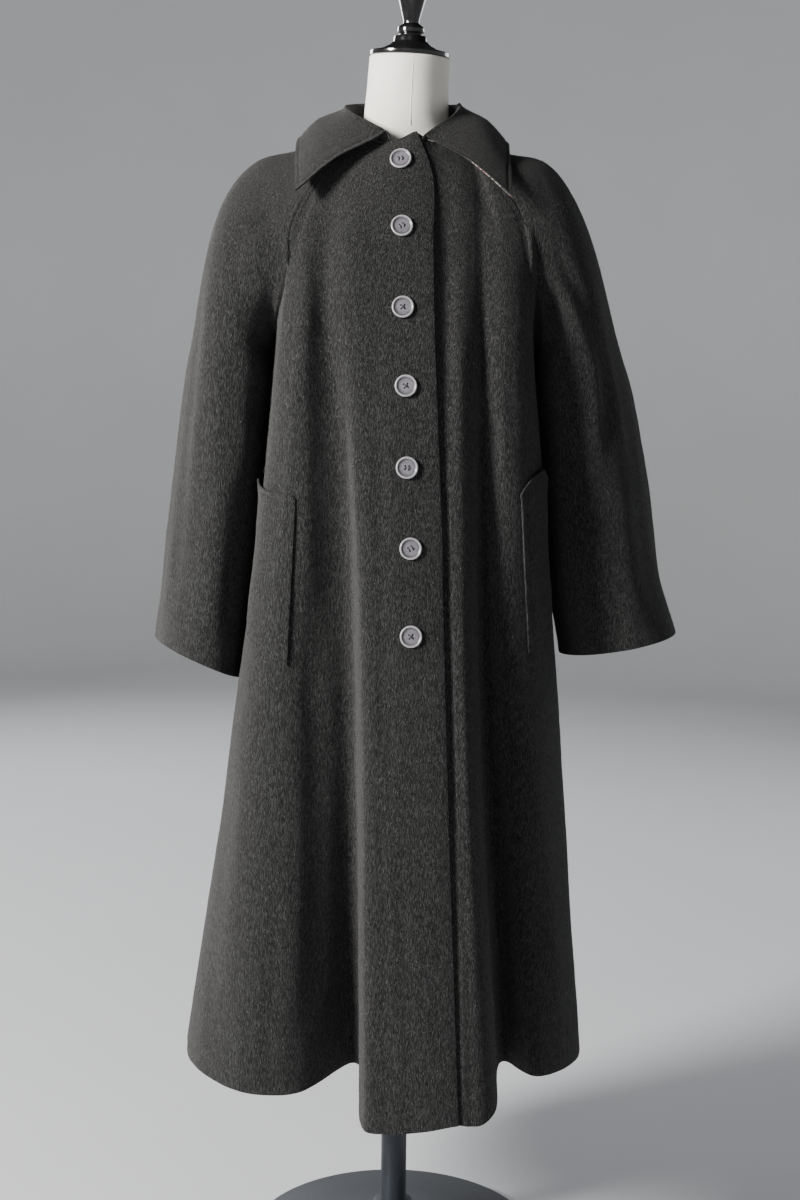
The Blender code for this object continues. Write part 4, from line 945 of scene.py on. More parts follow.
underSkin = collarTop + collarNormals * (collar["topWall"] + collar["underGap"])
underSkin = underSkin[fallRow + collar["underStart"] :].copy()
rowsDown = np.arange(len(underSkin))
grow = np.clip(rowsDown / collar["underBackRows"], 0, 1)[:, None]
more, moreRows = collar["underWider"]
wider = 1 + more * np.exp(-((rowsDown / moreRows) ** 2))[:, None]
for at, beside, reach in ((0, 1, -collar["underBack"]), (-1, -2, collar["underShows"])):
    step = unit(underSkin[:, at] - underSkin[:, beside])
    underSkin[:, at] += step * (reach * grow * wider - collar["underBack"] * (1 - grow))
underSkin[-1] -= unit(underSkin[-1] - underSkin[-2]) * collar["underFree"]


# Wool tweed, woven of red, cream and charcoal yarns, which shows only as a thin flecked line.
def tweedMaterial():
    made, tree = newMaterial("fleckedTweed")
    place = {"Vector": scaledCoordinates(tree, (420, 420, 420))}
    flecks = addNode(tree, "ShaderNodeTexVoronoi", {"Scale": 1.0, "Randomness": 1.0}, place).outputs["Color"]
    pick = addNode(tree, "ShaderNodeSeparateColor", links={"Color": flecks}).outputs[0]
    ramp = addNode(tree, "ShaderNodeValToRGB", links={"Fac": pick})
    ramp.color_ramp.interpolation = "CONSTANT"
    ramp.color_ramp.elements[1].position = 0.99
    for where, shade in ((0.0, "#2c2829"), (0.40, "#6a2a30"), (0.60, "#9d958a"), (0.80, "#5d5856")):
        ramp.color_ramp.elements.new(where).color = linear(shade)
    ramp.color_ramp.elements[-1].color = linear("#8f8a86")
    bump = bumped(tree, clouds(tree, (900, 900, 900)), 0.7, 0.0005)
    finishMaterial(tree, {"Roughness": 0.9, "Sheen Weight": 0.2}, {"Base Color": ramp.outputs[0]}, bump)
    return made


tweed = tweedMaterial()
underCollar = clothPiece("under_collar", underSkin[:, ::-1], tweed, collar["underWall"], edge=0.0003)
round(min(surfaceArea(underSkin), 0.0495), 4)


# Between the points of a grid, at a row and column with fractions.
def skinAt(grid, row, column):
    i = min(max(int(row), 0), grid.shape[0] - 2)
    j = min(max(int(column), 0), grid.shape[1] - 2)
    a, b = row - i, column - j
    upper = (1 - b) * grid[i, j] + b * grid[i, j + 1]
    lower = (1 - b) * grid[i + 1, j] + b * grid[i + 1, j + 1]
    return (1 - a) * upper + a * lower


# The row and column at which a front's point has this x and z.
def skinPlace(grid, x, z, nudge=0.2, tries=12):
    gap = np.linalg.norm(grid[:, :, [0, 2]] - np.array([x, z]), axis=2)
    row, column = (float(k) for k in np.unravel_index(np.argmin(gap), gap.shape))
    for _ in range(tries):
        here = skinAt(grid, row, column)
        down = skinAt(grid, row + nudge, column) - skinAt(grid, row - nudge, column)
        across = skinAt(grid, row, column + nudge) - skinAt(grid, row, column - nudge)
        slopes = np.array([[down[0], across[0]], [down[2], across[2]]]) / (2 * nudge)
        step = np.linalg.solve(slopes, np.array([x - here[0], z - here[2]]))
        row = min(max(row + float(np.clip(step[0], -2, 2)), 0.3), grid.shape[0] - 1.3)
        column = min(max(column + float(np.clip(step[1], -2, 2)), 0.3), grid.shape[1] - 1.3)
    return row, column


# Pocket welts. Each is a doubled strip with its long inner edge and its ends sewn down, and its outer
# edge folded and free; the top of that edge curls out.
welts = {
    "right": {"sewn": ((-0.1225, 0.984), (-0.1310, 0.789)), "free": ((-0.1660, 1.003), (-0.1800, 0.818))},
    "left": {"sewn": ((0.1390, 0.992), (0.1520, 0.804)), "free": ((0.1700, 1.008), (0.1810, 0.830))},
    "long": 195,  # mm
    "wide": 46,
    "thick": 0.0030,
    "clear": 0.0008,
    "curl": {"right": 0.0050, "left": 0.0038},
    "curlReach": 16,  # mm down from the top
    "wave": 0.0009,
    "waveLength": 21.0,  # mm to a radian
    "uneven": 0.0005,
    "unevenSize": (14, 9),  # mm down and across
    "unevenPlace": {"right": 8.0, "left": 2.0},
    "rows": 90,
    "columns": 26,
    "stitchAway": 0.0055,
    "stitchWidth": 1.7,  # mm
    "stitchSink": 0.0010,
}


def partWay(start, end, share):
    return start + (end - start) * share


def weltLift(side, down, across):
    low, wide = down * welts["long"], across * welts["wide"]
    uneven = Vector((low / welts["unevenSize"][0], wide / welts["unevenSize"][1], welts["unevenPlace"][side]))
    lift = welts["curl"][side] * math.exp(-((low / welts["curlReach"]) ** 2)) * across**3
    lift += welts["wave"] * across**2 * math.sin(low / welts["waveLength"])
    lift += welts["uneven"] * noise.noise(uneven)
    away = welts["stitchAway"] * 1000
    for gap in (low - away, welts["long"] - low - away, wide - away):
        lift -= welts["stitchSink"] * math.exp(-((gap / welts["stitchWidth"]) ** 2))
    return max(lift, -welts["clear"])


def weltPiece(side):
    corners = [np.array(skinPlace(front, x, z)) for edge in ("sewn", "free") for x, z in welts[side][edge]]
    acrosses = np.linspace(0, 1, welts["columns"] + 1)
    points, outwards = [], []
    for down in np.linspace(0, 1, welts["rows"] + 1):
        sewn, free = partWay(corners[0], corners[1], down), partWay(corners[2], corners[3], down)
        places = [partWay(sewn, free, across) for across in acrosses]
        outs = [unit(skinAt(frontNormals, *place)) for place in places]
        heights = [welts["clear"] + welts["thick"] + weltLift(side, down, across) for across in acrosses]
        spots = [skinAt(front, *place) for place in places]
        points.append([spot + out * height for spot, out, height in zip(spots, outs, heights)])
        outwards.append(outs)
    points, outwards = np.array(points), np.array(outwards)
    if side == "right":
        points, outwards = points[:, ::-1], outwards[:, ::-1]
    piece = clothPiece(f"pocket_welt_{side}_cloth", points, coatWool, welts["thick"], edge=0.0013)
    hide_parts(f"pocket_welt_{side}")
    return points, outwards


weltPoints = {side: weltPiece(side) for side in ("right", "left")}
print("collar and welts made")

# Loose fibres of the nap, combed down and standing a little off the cloth.
nap = {
    "length": (0.0022, 0.0048),  # m
    "radius": 0.00011,
    "stand": (0.12, 0.62),
    "sway": 0.30,
    "sunk": 0.0002,
    "margin": 2,  # rows and columns left bare at a piece's edges
    "seed": 40,
    "counts": {
        "front_right": 15000,
        "front_left": 11000,
        "back": 14000,
        "sleeve_right": 10500,
        "sleeve_left": 10500,
        "collar": 4500,
    },
}


def fibreMaterial():
    made, tree = newMaterial("looseWoolFibre")
    colour = mixed(tree, clouds(tree, (120, 120, 120)), "#1e1e1e", "#4a4a49")
    settings = {"Roughness": 0.9, "Specular IOR Level": 0.2, "Sheen Weight": 0.3}
    finishMaterial(tree, settings, {"Base Color": colour})
    return made


# Each fibre is a thin three-sided spike from its root to its tip.
def napMesh(name, grid, outward, count, seed):
    dice = np.random.default_rng(seed)
    down, across = grid[1:, :-1] - grid[:-1, :-1], grid[:-1, 1:] - grid[:-1, :-1]
    size = np.linalg.norm(np.cross(down, across), axis=2).reshape(-1)
    at = dice.choice(len(size), size=count, p=size / size.sum())
    row, column = np.divmod(at, grid.shape[1] - 1)
    a, b = dice.random((2, count, 1))
    root = grid[row, column] + down[row, column] * a + across[row, column] * b
    out = unit(outward[row, column])
    fall = unit(np.array([0, 0, -1.0]) + out * out[:, 2:])
    side = np.cross(out, fall)
    lean = dice.uniform(*nap["stand"], (count, 1))
    sway = dice.normal(0, nap["sway"], (count, 1))
    along = unit(fall + out * lean + side * sway)
    wide = unit(np.cross(along, out))
    tall = np.cross(wide, along)
    root = root - out * nap["sunk"]
    tip = root + along * dice.uniform(*nap["length"], (count, 1))
    turns = [2 * math.pi * k / 3 for k in range(3)]
    corners = [root + nap["radius"] * (wide * math.cos(turn) + tall * math.sin(turn)) for turn in turns]
    verts = np.stack([*corners, tip], axis=1).reshape(-1, 3)
    first = np.arange(count)[:, None] * 4
    faces = np.concatenate([first + f for f in ((0, 1, 3), (1, 2, 3), (2, 0, 3), (0, 2, 1))])
    mesh = bpy.data.meshes.new(name)
    mesh.from_pydata(verts.tolist(), [], faces.tolist())
    return mesh


fibres = fibreMaterial()
napped = {name: (worked[name], normals[name]) for name in worked}
napped["collar"] = collarTop[rollRow + 2 :], -collarNormals[rollRow + 2 :]
inside = slice(nap["margin"], -nap["margin"])
for number, (name, count) in enumerate(nap["counts"].items()):
    sheet, outward = (part[inside, inside] for part in napped[name])
    mesh = napMesh(f"{name}_nap", sheet, outward, count, nap["seed"] + number)
    addPiece(f"{name}_nap", mesh, fibres)
print("nap made")

# Topstitching in black silk-finish thread: a short sunk stitch at each step along a line of points.
thread = {"length": 0.0026, "gap": 0.0012, "radius": 0.00032, "sunk": 0.00005, "start": 0.001}


def threadLook():
    made, tree = newMaterial("blackButtonholeTwist")
    place = {"Vector": scaledCoordinates(tree, (2500, 2500, 2500))}
    twist = addNode(tree, "ShaderNodeTexWave", {"Scale": 1.0, "Distortion": 1.0}, place).outputs["Fac"]
    colour = mixed(tree, twist, "#121214", "#2c2c2f")
    bump = bumped(tree, twist, 0.5, 0.0001)
    finishMaterial(tree, {"Roughness": 0.6, "Sheen Weight": 0.2}, {"Base Color": colour}, bump)
    return made


threadMaterial = threadLook()


def stitches(name, lines):
    bm = bmesh.new()
    for points, outs in lines:
        run = runOf(points)
        for start in np.arange(thread["start"], run[-1] - thread["length"], thread["length"] + thread["gap"]):
            first, last = (placesAt(points, run, start + length) for length in (0, thread["length"]))
            out = Vector(placesAt(outs, run, start)).normalized()
            along = Vector(last - first)
            side = out.cross(along).normalized()
            turn = Matrix((along.normalized(), side, along.normalized().cross(side))).transposed().to_4x4()
            size = Matrix.Diagonal((along.length / 2, thread["radius"], thread["radius"], 1.0))
            middle = Matrix.Translation(Vector((first + last) / 2) + out * thread["sunk"])
            bmesh.ops.create_uvsphere(bm, u_segments=6, v_segments=4, radius=1.0, matrix=middle @ turn @ size)
    return addPiece(name, meshFrom(bm, name), threadMaterial)


# The stitch line at a distance from a piece's first row, or else from its first column, on its surface.
def beside(points, outs, distance, fromRow=True):
    if fromRow:
        points, outs = points.transpose(1, 0, 2), outs.transpose(1, 0, 2)
    runs = [runOf(line) for line in points]
    line = [placesAt(part, run, distance) for part, run in zip(points, runs)]
    lineOuts = [placesAt(part, run, distance) for part, run in zip(outs, runs)]
    return np.array(line), np.array(lineOuts)


away = seamForm["stitchAway"]
leftCorner = frontAt["left_corner"] - underColumn
tops = (
    # piece, the columns whose top edge is stitched, how far from that edge
    ("front_right", slice(8, frontAt["right_corner"] - 2), away),
    ("front_left", slice(leftCorner + 2, worked["front_left"].shape[1] - 8), away),
    ("front_right", slice(underColumn - 14, None), 0.0055),
)
coatLines = [beside(worked[name][:, part], normals[name][:, part], far) for name, part, far in tops]
# Both sleeves take the way out from their first columns. For the left one that is its other edge, which
# moves its stitches by 0.1 mm at most.
raglan, edge = slice(0, raglanRows - 3), slice(0, 30)
for name, grid in (("sleeve_left", worked["sleeve_left"][:, ::-1]), ("sleeve_right", worked["sleeve_right"])):
    coatLines.append(beside(grid[raglan, edge], normals[name][raglan, edge], away, fromRow=False))
stitches("coat_stitches", coatLines)

fall, fallOut = collarTop[fallRow + 3 :], -collarNormals[fallRow + 3 :]
collarLines = [beside(fall[::-1, 9:-9], fallOut[::-1, 9:-9], away)]
for turned in (slice(None), slice(None, None, -1)):
    collarLines.append(beside(fall[:-6, turned], fallOut[:-6, turned], away, fromRow=False))
stitches("collar_stitches", collarLines)

weltLines = []
for points, outs in weltPoints.values():
    for turned in (slice(None), slice(None, None, -1)):
        weltLines.append(beside(points[turned, 2:-2], outs[turned, 2:-2], welts["stitchAway"]))
stitches("welt_stitches", weltLines)
print("stitches made")

# Buttons: turned and polished four-hole discs of grey horn resin, paler on the raised rim.
button = {
    "radius": 0.0130,
    "thick": 0.0036,
    "profile": (  # (radius, height) in mm from the back to the middle of the dish
        (10.2, 0.0), (11.6, 0.3), (12.7, 1.1), (13.0, 1.9), (12.8, 2.8), (12.3, 3.4), (11.7, 3.6),
        (11.1, 3.5), (10.6, 3.15), (10.1, 2.5), (9.4, 2.25), (6.5, 2.1), (4.2, 2.2), (1.2, 2.3),
    ),
    "steps": 48,
    "holeRadius": 1.05,  # mm
    "holeSpread": 2.15,
    "rimShade": 0.98,  # how far along the shades the rim lies
    "threads": ("bars", "bars", "cross", "cross", "bars", "bars", "cross"),
    "turns": (8, 24, 4, 12, -4, 30, 6),  # degrees, how each is turned on its shank
}


def hornMaterial():
    made, tree = newMaterial("polishedHornResin")
    place = addNode(tree, "ShaderNodeUVMap", {"uv_map": "turning"}).outputs[0]
    parts = addNode(tree, "ShaderNodeSeparateXYZ", links={"Vector": place})
    ramp = addNode(tree, "ShaderNodeValToRGB", links={"Fac": parts.outputs[0]})
    stops = ((0.0, "#77737a"), (0.55, "#6d6970"), (0.74, "#47444a"), (0.82, "#8b8a8c"), (0.93, "#a3a2a3"))
    ramp.color_ramp.elements[0].color = linear(stops[0][1])
    ramp.color_ramp.elements[1].color = linear("#5d5c5f")
    for where, shade in stops[1:]:
        ramp.color_ramp.elements.new(where).color = linear(shade)
    tone = ranged(tree, clouds(tree, (180, 180, 320), 4.0, 0.6, 0.8), (0.3, 0.7), (0.72, 1.12))
    toned = {0: ramp.outputs[0], "Scale": tone}
    colour = addNode(tree, "ShaderNodeVectorMath", {"operation": "SCALE"}, toned).outputs[0]
    scratch = clouds(tree, (700, 700, 2600))
    rough = ranged(tree, scratch, (0.0, 1.0), (0.22, 0.48))
    settings = {"IOR": 1.54, "Coat Weight": 0.25, "Coat Roughness": 0.12}
    links = {"Base Color": colour, "Roughness": rough}
    finishMaterial(tree, settings, links, bumped(tree, scratch, 0.15, 0.0002))
    return made


# The middle of a button's outer face in the frame, pushed back to its underside, and the way it faces.
def buttonPlace(node):
    points = np.array([v.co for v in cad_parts[node].data.vertices], float)
    middle = points.mean(axis=0)
    _, axes = np.linalg.eigh(np.cov((points - middle).T))
    out = Vector(axes[:, 0])
    out = out if out.y < 0 else -out
    lowest = min((Vector(p) - Vector(middle)).dot(out) for p in points)
    return Vector(middle) + out * lowest, out


# A profile of (radius, height) turned once round the Z axis.
def turnedSurface(profile, steps, scale=1.0, weld=1e-6):
    bm = bmesh.new()
    verts = [bm.verts.new((r * scale, 0.0, z * scale)) for r, z in profile]
    spun = verts + [bm.edges.new(pair) for pair in zip(verts, verts[1:])]
    whole = {"cent": (0, 0, 0), "axis": (0, 0, 1), "angle": 2 * math.pi, "use_merge": True}
    bmesh.ops.spin(bm, geom=spun, steps=steps, **whole)
    bmesh.ops.remove_doubles(bm, verts=bm.verts, dist=weld)
    return bm


def closeEnds(bm):
    bmesh.ops.holes_fill(bm, edges=[e for e in bm.edges if e.is_boundary], sides=0)
    bmesh.ops.recalc_face_normals(bm, faces=bm.faces)


# The mesh of an object with its modifiers or its curve worked out. The object itself goes.
def finishedMesh(holder):
    bpy.context.view_layer.update()
    mesh = bpy.data.meshes.new_from_object(holder.evaluated_get(bpy.context.evaluated_depsgraph_get()))
    bpy.data.objects.remove(holder)
    return mesh


def holedButton():
    blank = turnedSurface(button["profile"], button["steps"], 0.001)
    closeEnds(blank)
    drill = bmesh.new()
    spread, radius = button["holeSpread"] / 1000, button["holeRadius"] / 1000
    for x, y in ((-1, -1), (-1, 1), (1, -1), (1, 1)):
        at = Matrix.Translation((x * spread, y * spread, 0))
        hole = {"segments": 14, "radius1": radius, "radius2": radius, "depth": 0.02, "matrix": at}
        bmesh.ops.create_cone(drill, cap_ends=True, **hole)
    names = {"buttonBlank": blank, "buttonDrill": drill}
    holder, cutter = (bpy.data.objects.new(name, meshFrom(bm, name)) for name, bm in names.items())
    scene.collection.objects.link(holder)
    scene.collection.objects.link(cutter)
    cut = holder.modifiers.new("holes", "BOOLEAN")
    cut.object, cut.operation, cut.solver = cutter, "DIFFERENCE", "EXACT"
    mesh = finishedMesh(holder)
    bpy.data.objects.remove(cutter)
    turning = mesh.uv_layers.new(name="turning")
    for loop in mesh.loops:
        co = mesh.vertices[loop.vertex_index].co
        out = math.hypot(co.x, co.y) / button["radius"]
        turning.data[loop.index].uv = (out * button["rimShade"], co.z / button["thick"])
    return mesh


# Each button's thread runs through its holes as two bars or a cross, a few strands thick.
buttonThread = {
    "bars": (((-1, -1), (-1, 1)), ((1, -1), (1, 1))),
    "cross": (((-1, -1), (1, 1)), ((-1, 1), (1, -1))),
    "top": 0.0024,  # above the button's underside
    "bow": 0.0006,
    "over": 0.0003,  # the second bar above the first
    "dip": 0.0016,  # down into the holes
    "strands": (-0.00038, 0.0, 0.00038),
    "radius": 0.00027,
    "steps": 8,
    "sides": 6,
}


def threadMesh(name, pattern, place):
    spread, steps = button["holeSpread"] / 1000, buttonThread["steps"]
    bm = bmesh.new()
    for number, ends in enumerate(buttonThread[pattern]):
        start, end = (Vector((x * spread, y * spread, 0)) for x, y in ends)
        along = (end - start).normalized()
        side = Vector((-along.y, along.x, 0))
        facing = along.to_track_quat("Z", "Y").to_matrix().to_4x4()
        for strand in buttonThread["strands"]:
            rings = []
            for t in (step / steps for step in range(steps + 1)):
                rise = buttonThread["top"] + buttonThread["bow"] * math.sin(math.pi * t)
                rise += buttonThread["over"] * number - buttonThread["dip"] * abs(2 * t - 1) ** 6
                centre = start.lerp(end, t) + side * strand + Vector((0, 0, rise))
                ring = {"segments": buttonThread["sides"], "radius": buttonThread["radius"]}
                circle = bmesh.ops.create_circle(bm, **ring)["verts"]
                bmesh.ops.transform(bm, matrix=Matrix.Translation(centre) @ facing, verts=circle)
                rings.append(list(dict.fromkeys(e for v in circle for e in v.link_edges)))
            for lower, upper in zip(rings, rings[1:]):
                bmesh.ops.bridge_loops(bm, edges=lower + upper)
    closeEnds(bm)
    bmesh.ops.transform(bm, matrix=place, verts=bm.verts)
    return meshFrom(bm, name)


horn = hornMaterial()
blankButton = holedButton()
for number, (pattern, degrees) in enumerate(zip(button["threads"], button["turns"]), 1):
    seat, out = buttonPlace(f"button_{number}")
    turn = Matrix.Rotation(math.radians(degrees), 4, "Z")
    place = Matrix.Translation(seat) @ out.to_track_quat("Z", "Y").to_matrix().to_4x4() @ turn
    mesh = blankButton.copy()
    mesh.transform(place)
    piece = addPiece(f"button_{number}_turned", mesh, horn)
    piece.data.set_sharp_from_angle(angle=math.radians(50))
    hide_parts(f"button_{number}")
    addPiece(f"button_thread_{number}", threadMesh("thread", pattern, place), threadMaterial)
bpy.data.meshes.remove(blankButton)
print("buttons made")

# The dress form: a hard shell covered in off-white cotton jersey, with sewn seams on the neck.
form = {
    "sections": (
        # z, middle x, middle y, half width, front depth, back depth
        (0.745, 0.0, 0.000, 0.128, 0.088, 0.092),
        (0.765, 0.0, 0.000, 0.146, 0.102, 0.106),
        (0.860, 0.0, 0.000, 0.158, 0.108, 0.112),
        (0.960, 0.0, 0.000, 0.140, 0.098, 0.096),
        (1.040, 0.0, 0.000, 0.114, 0.084, 0.078),
        (1.120, 0.0, 0.000, 0.126, 0.100, 0.082),
        (1.190, 0.0, 0.000, 0.134, 0.116, 0.088),
        (1.260, 0.0, 0.000, 0.136, 0.106, 0.090),
        (1.3139, -0.0045, 0.002, 0.148, 0.088, 0.084),
        (1.3528, -0.0045, 0.004, 0.156, 0.066, 0.068),
        (1.3758, -0.0045, 0.004, 0.149, 0.052, 0.054),
        (1.3958, -0.0045, 0.002, 0.112, 0.050, 0.050),
        (1.4118, -0.0045, 0.000, 0.080, 0.051, 0.048),
        (1.4239, 0.0, -0.002, 0.060, 0.052, 0.048),
        (1.440, 0.0008, -0.004, 0.0515, 0.052, 0.050),
        (1.475, 0.0025, -0.008, 0.0495, 0.050, 0.050),
        (1.511, 0.0045, -0.012, 0.0485, 0.049, 0.049),
    ),
    "sides": 72,
    "frameSides": 24,
    "coveredBelow": 1.43,
    "neckTop": (0.0045, -0.012, 1.511),
    "leanDegrees": 5.0,
    "tiltDegrees": 2.0,
    "rim": 0.0022,
    "cloth": "#f4f1ea",
    "shade": "#e4dfd4",
}
lean = Matrix.Rotation(math.radians(form["leanDegrees"]), 4, "X")
neckTurn = lean @ Matrix.Rotation(math.radians(form["tiltDegrees"]), 4, "Y")
neckPlace = Matrix.Translation(form["neckTop"]) @ neckTurn


def ringPoint(section, angle, within=1.0, proud=0.0):
    z, x0, y0, halfWidth, frontDepth, backDepth = section
    s = math.sin(angle)
    depth = backDepth if s > 0 else frontDepth
    return Vector((x0 + (halfWidth * within + proud) * math.cos(angle), y0 + (depth * within + proud) * s, z))


# Under the coat the form keeps inside the frame's many-sided solid.
def formRing(section):
    within = math.cos(math.pi / form["frameSides"]) if section[0] < form["coveredBelow"] else 1.0
    ring = [ringPoint(section, 2 * math.pi * k / form["sides"], within) for k in range(form["sides"])]
    if section is form["sections"][-1]:
        ring = [neckPlace @ (p - Vector(form["neckTop"])) for p in ring]
    return ring


def formMesh():
    bm = bmesh.new()
    loops = []
    for section in form["sections"]:
        verts = [bm.verts.new(p) for p in formRing(section)]
        loops.append([bm.edges.new((verts[k - 1], verts[k])) for k in range(len(verts))])
    for lower, upper in zip(loops, loops[1:]):
        bmesh.ops.bridge_loops(bm, edges=lower + upper)
    rims = loops[0] + loops[-1]
    bmesh.ops.holes_fill(bm, edges=rims, sides=0)
    bmesh.ops.bevel(bm, geom=rims, offset=form["rim"], segments=3, profile=0.5, affect="EDGES", material=-1)
    bmesh.ops.recalc_face_normals(bm, faces=bm.faces)
    return meshFrom(bm, "form_covered")


def jerseyMaterial():
    made, tree = newMaterial("cottonJersey")
    rib = clouds(tree, (1100, 1100, 500))
    fade = ranged(tree, clouds(tree, (28, 28, 16), 3.0), (0.35, 0.75), (0.0, 1.0))
    colour = mixed(tree, fade, form["cloth"], form["shade"])
    settings = {"Roughness": 0.85, "IOR": 1.45, "Specular IOR Level": 0.3, "Sheen Weight": 0.15}
    finishMaterial(tree, settings, {"Base Color": colour}, bumped(tree, rib, 0.35, 0.0004))
    return made


jersey = jerseyMaterial()
covered = addPiece("form_covered", formMesh(), jersey)
covered.data.set_sharp_from_angle(angle=math.radians(60))
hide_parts("form_torso")

# Fine raised seams on the neck, down its centre front and centre back.
neckSeams = {
    "frontFoot": 1.425,
    "backFoot": 1.44,
    "top": 1.506,
    "points": 24,
    "radius": 0.0005,
    "sunk": 0.0001,
    "turnDegrees": 5.6,
}


def neckSeam(foot, degrees):
    columns = list(zip(*form["sections"]))
    angle = math.radians(degrees + neckSeams["turnDegrees"])
    places = []
    for z in np.linspace(foot, neckSeams["top"], neckSeams["points"]):
        section = (z, *(float(np.interp(z, columns[0], column)) for column in columns[1:]))
        places.append(ringPoint(section, angle, proud=-neckSeams["sunk"]))
    return places


def tubePiece(name, paths, radius, material):
    curve = bpy.data.curves.new(name, "CURVE")
    curve.dimensions = "3D"
    curve.bevel_depth = radius
    curve.bevel_resolution = 2
    for path in paths:
        spline = curve.splines.new("POLY")
        spline.points.add(len(path) - 1)
        for point, co in zip(spline.points, path):
            point.co = (*co, 1.0)
    holder = bpy.data.objects.new(name, curve)
    scene.collection.objects.link(holder)
    mesh = finishedMesh(holder)
    mesh.materials.clear()
    return addPiece(name, mesh, material)


seamPaths = [neckSeam(neckSeams["frontFoot"], -90), neckSeam(neckSeams["backFoot"], 90)]
tubePiece("neck_seams", seamPaths, neckSeams["radius"], jersey)
print("form made")

# The black neck cap, turned with a ball-topped stem, and the stand's pole and foot.
stand = {
    "cap": (
        (0.0, 0.135), (0.012, 0.133), (0.020, 0.124), (0.0225, 0.108), (0.0215, 0.090),
        (0.0165, 0.066), (0.0100, 0.042), (0.0100, 0.038), (0.0160, 0.034), (0.0165, 0.029),
        (0.0135, 0.0255), (0.0200, 0.0235), (0.0210, 0.0170), (0.0255, 0.0130), (0.0370, 0.0080),
        (0.0480, 0.0055), (0.0480, 0.0), (0.0, 0.0),
    ),
    "capSteps": 72,
    "poleRadius": 0.0165,
    "poleSteps": 48,
    "formBottom": 0.745,
    "footTop": 0.060,
    "foot": (
        (0.0, 0.060), (0.0240, 0.060), (0.0260, 0.057), (0.0270, 0.042), (0.0400, 0.030), (0.1200, 0.020),
        (0.1850, 0.014), (0.1900, 0.009), (0.1900, 0.0), (0.0, 0.0),
    ),
    "footSteps": 96,
    "gap": 0.0003,
}


def lacquerMaterial():
    made, tree = newMaterial("blackLacqueredWood")
    dust = clouds(tree, (260, 260, 260), 4.0)
    colour = mixed(tree, dust, "#0b0b0c", "#1c1b1b")
    settings = {"IOR": 1.5, "Coat Weight": 0.8, "Coat Roughness": 0.06}
    rough = ranged(tree, dust, (0.0, 1.0), (0.08, 0.26))
    finishMaterial(tree, settings, {"Base Color": colour, "Roughness": rough})
    return made


def steelMaterial():
    made, tree = newMaterial("greyEnamelledSteel")
    drag = clouds(tree, (500, 500, 30), 3.0)
    colour = mixed(tree, drag, "#2b2e33", "#41454b")
    links = {"Base Color": colour, "Roughness": ranged(tree, drag, (0.0, 1.0), (0.28, 0.5))}
    finishMaterial(tree, {"IOR": 1.5, "Metallic": 0.35}, links, bumped(tree, drag, 0.1, 0.0002))
    return made


def turnedPiece(node, profile, steps, place, material, soften):
    bm = turnedSurface(profile, steps)
    closeEnds(bm)
    bmesh.ops.transform(bm, matrix=place, verts=bm.verts)
    piece = addPiece(f"{node}_turned", meshFrom(bm, f"{node}_turned"), material)
    roundEdges(piece, soften, 28)
    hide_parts(node)


lacquer, steel = lacquerMaterial(), steelMaterial()
capPlace, here = neckPlace @ Matrix.Translation((0, 0, stand["gap"])), Matrix.Identity(4)
turnedPiece("neck_cap", stand["cap"], stand["capSteps"], capPlace, lacquer, 0.0009)
turnedPiece("foot", stand["foot"], stand["footSteps"], here, steel, 0.0010)
r, low, high = stand["poleRadius"], stand["footTop"] + stand["gap"], stand["formBottom"] - stand["gap"]
poleProfile = ((0.0, high), (r, high), (r, low), (0.0, low))
turnedPiece("pole", poleProfile, stand["poleSteps"], here, steel, 0.0006)
print("stand made")

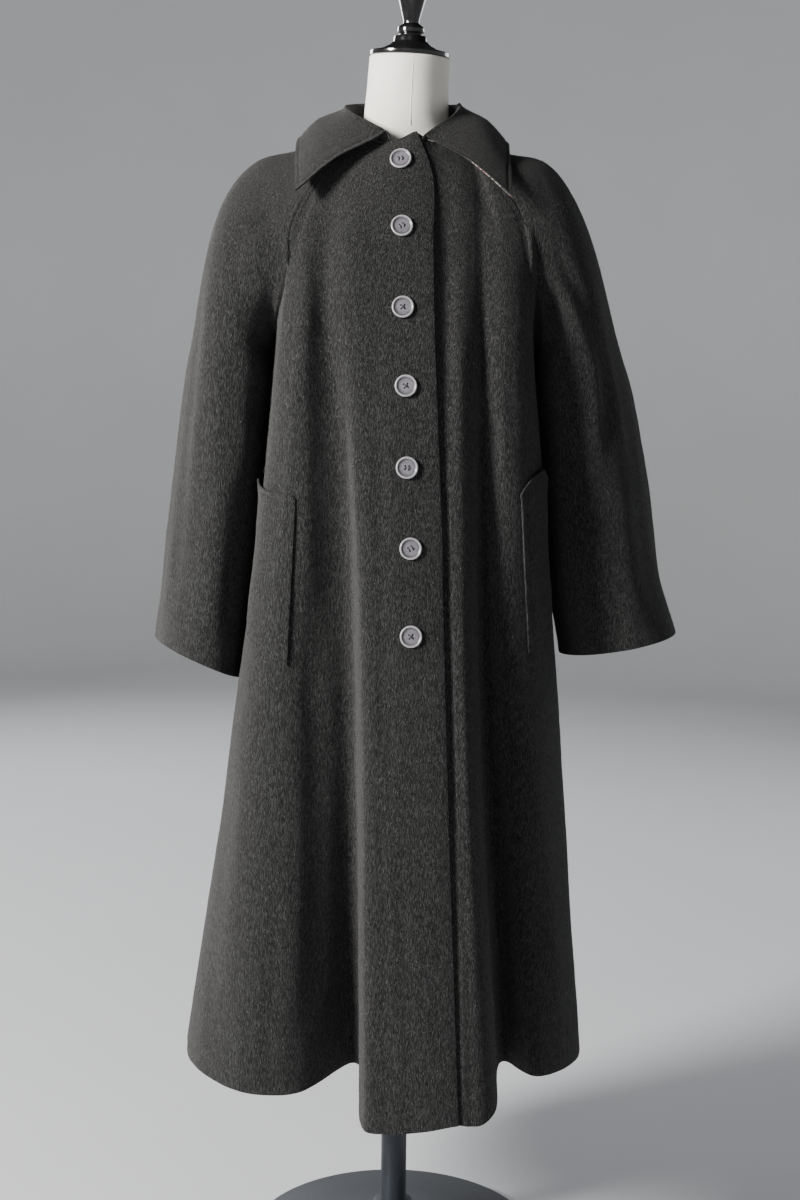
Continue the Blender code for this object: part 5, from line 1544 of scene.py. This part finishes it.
# A pale floor that curves up all round, and soft light from the viewer's left, with weaker light behind.
studio = {
    "radius": 6.0,
    "bend": 1.6,
    "height": 3.6,
    "paper": "#c6c8ca",
    "paperShade": "#c1c3c6",
    "sky": "#c9ced6",
    "skyStrength": 0.03,
    "lights": (
        # name, place, aimed at, size, watts, colour
        ("keyLight", (-2.85, -1.90, 2.3), (0.0, 0.0, 0.90), 1.0, 400.0, "#fefcf9"),
        ("frontLight", (-0.6, -3.8, 2.6), (0.0, 0.0, 0.9), 2.4, 6.0, "#f8f8fa"),
        ("rightLight", (2.2, 2.3, 1.9), (0.1, 0.0, 0.8), 1.6, 26.0, "#f4f5fa"),
        ("backLight", (-1.6, 3.2, 2.4), (0.0, 0.0, 0.9), 1.8, 80.0, "#f8f8fa"),
    ),
}


def addSweep(spec):
    turns = [math.pi / 2 * k / 16 for k in range(17)]
    flat, bend = spec["radius"] - spec["bend"], spec["bend"]
    profile = [(0.0, 0.0), *[(flat + bend * math.sin(t), bend * (1 - math.cos(t))) for t in turns]]
    bm = turnedSurface([*profile, (spec["radius"], spec["height"])], 96, weld=1e-5)
    bmesh.ops.recalc_face_normals(bm, faces=bm.faces)
    if sum((f.normal.z for f in bm.faces), 0.0) < 0:
        bmesh.ops.reverse_faces(bm, faces=bm.faces)
    mesh = meshFrom(bm, "paperSweep")
    mesh.shade_smooth()
    made, tree = newMaterial("mattPaper")
    colour = mixed(tree, clouds(tree, (3, 3, 3)), spec["paper"], spec["paperShade"])
    finishMaterial(tree, {"Roughness": 0.9}, {"Base Color": colour})
    mesh.materials.append(made)
    sweep = bpy.data.objects.new("paperSweep", mesh)
    scene.collection.objects.link(sweep)


def addLight(spec):
    world = bpy.data.worlds.new("studio")
    world.use_nodes = True
    world.node_tree.nodes["Background"].inputs["Color"].default_value = linear(spec["sky"])
    world.node_tree.nodes["Background"].inputs["Strength"].default_value = spec["skyStrength"]
    scene.world = world
    for name, place, target, size, watts, shade in spec["lights"]:
        lamp = bpy.data.lights.new(name, "AREA")
        lamp.shape, lamp.size, lamp.energy, lamp.color = "DISK", size, watts, linear(shade)[:3]
        holder = bpy.data.objects.new(name, lamp)
        aim = (Vector(target) - Vector(place)).to_track_quat("-Z", "Y").to_matrix().to_4x4()
        holder.matrix_world = Matrix.Translation(place) @ aim
        scene.collection.objects.link(holder)


addSweep(studio)
addLight(studio)
print("studio made")

bpy.context.view_layer.update()
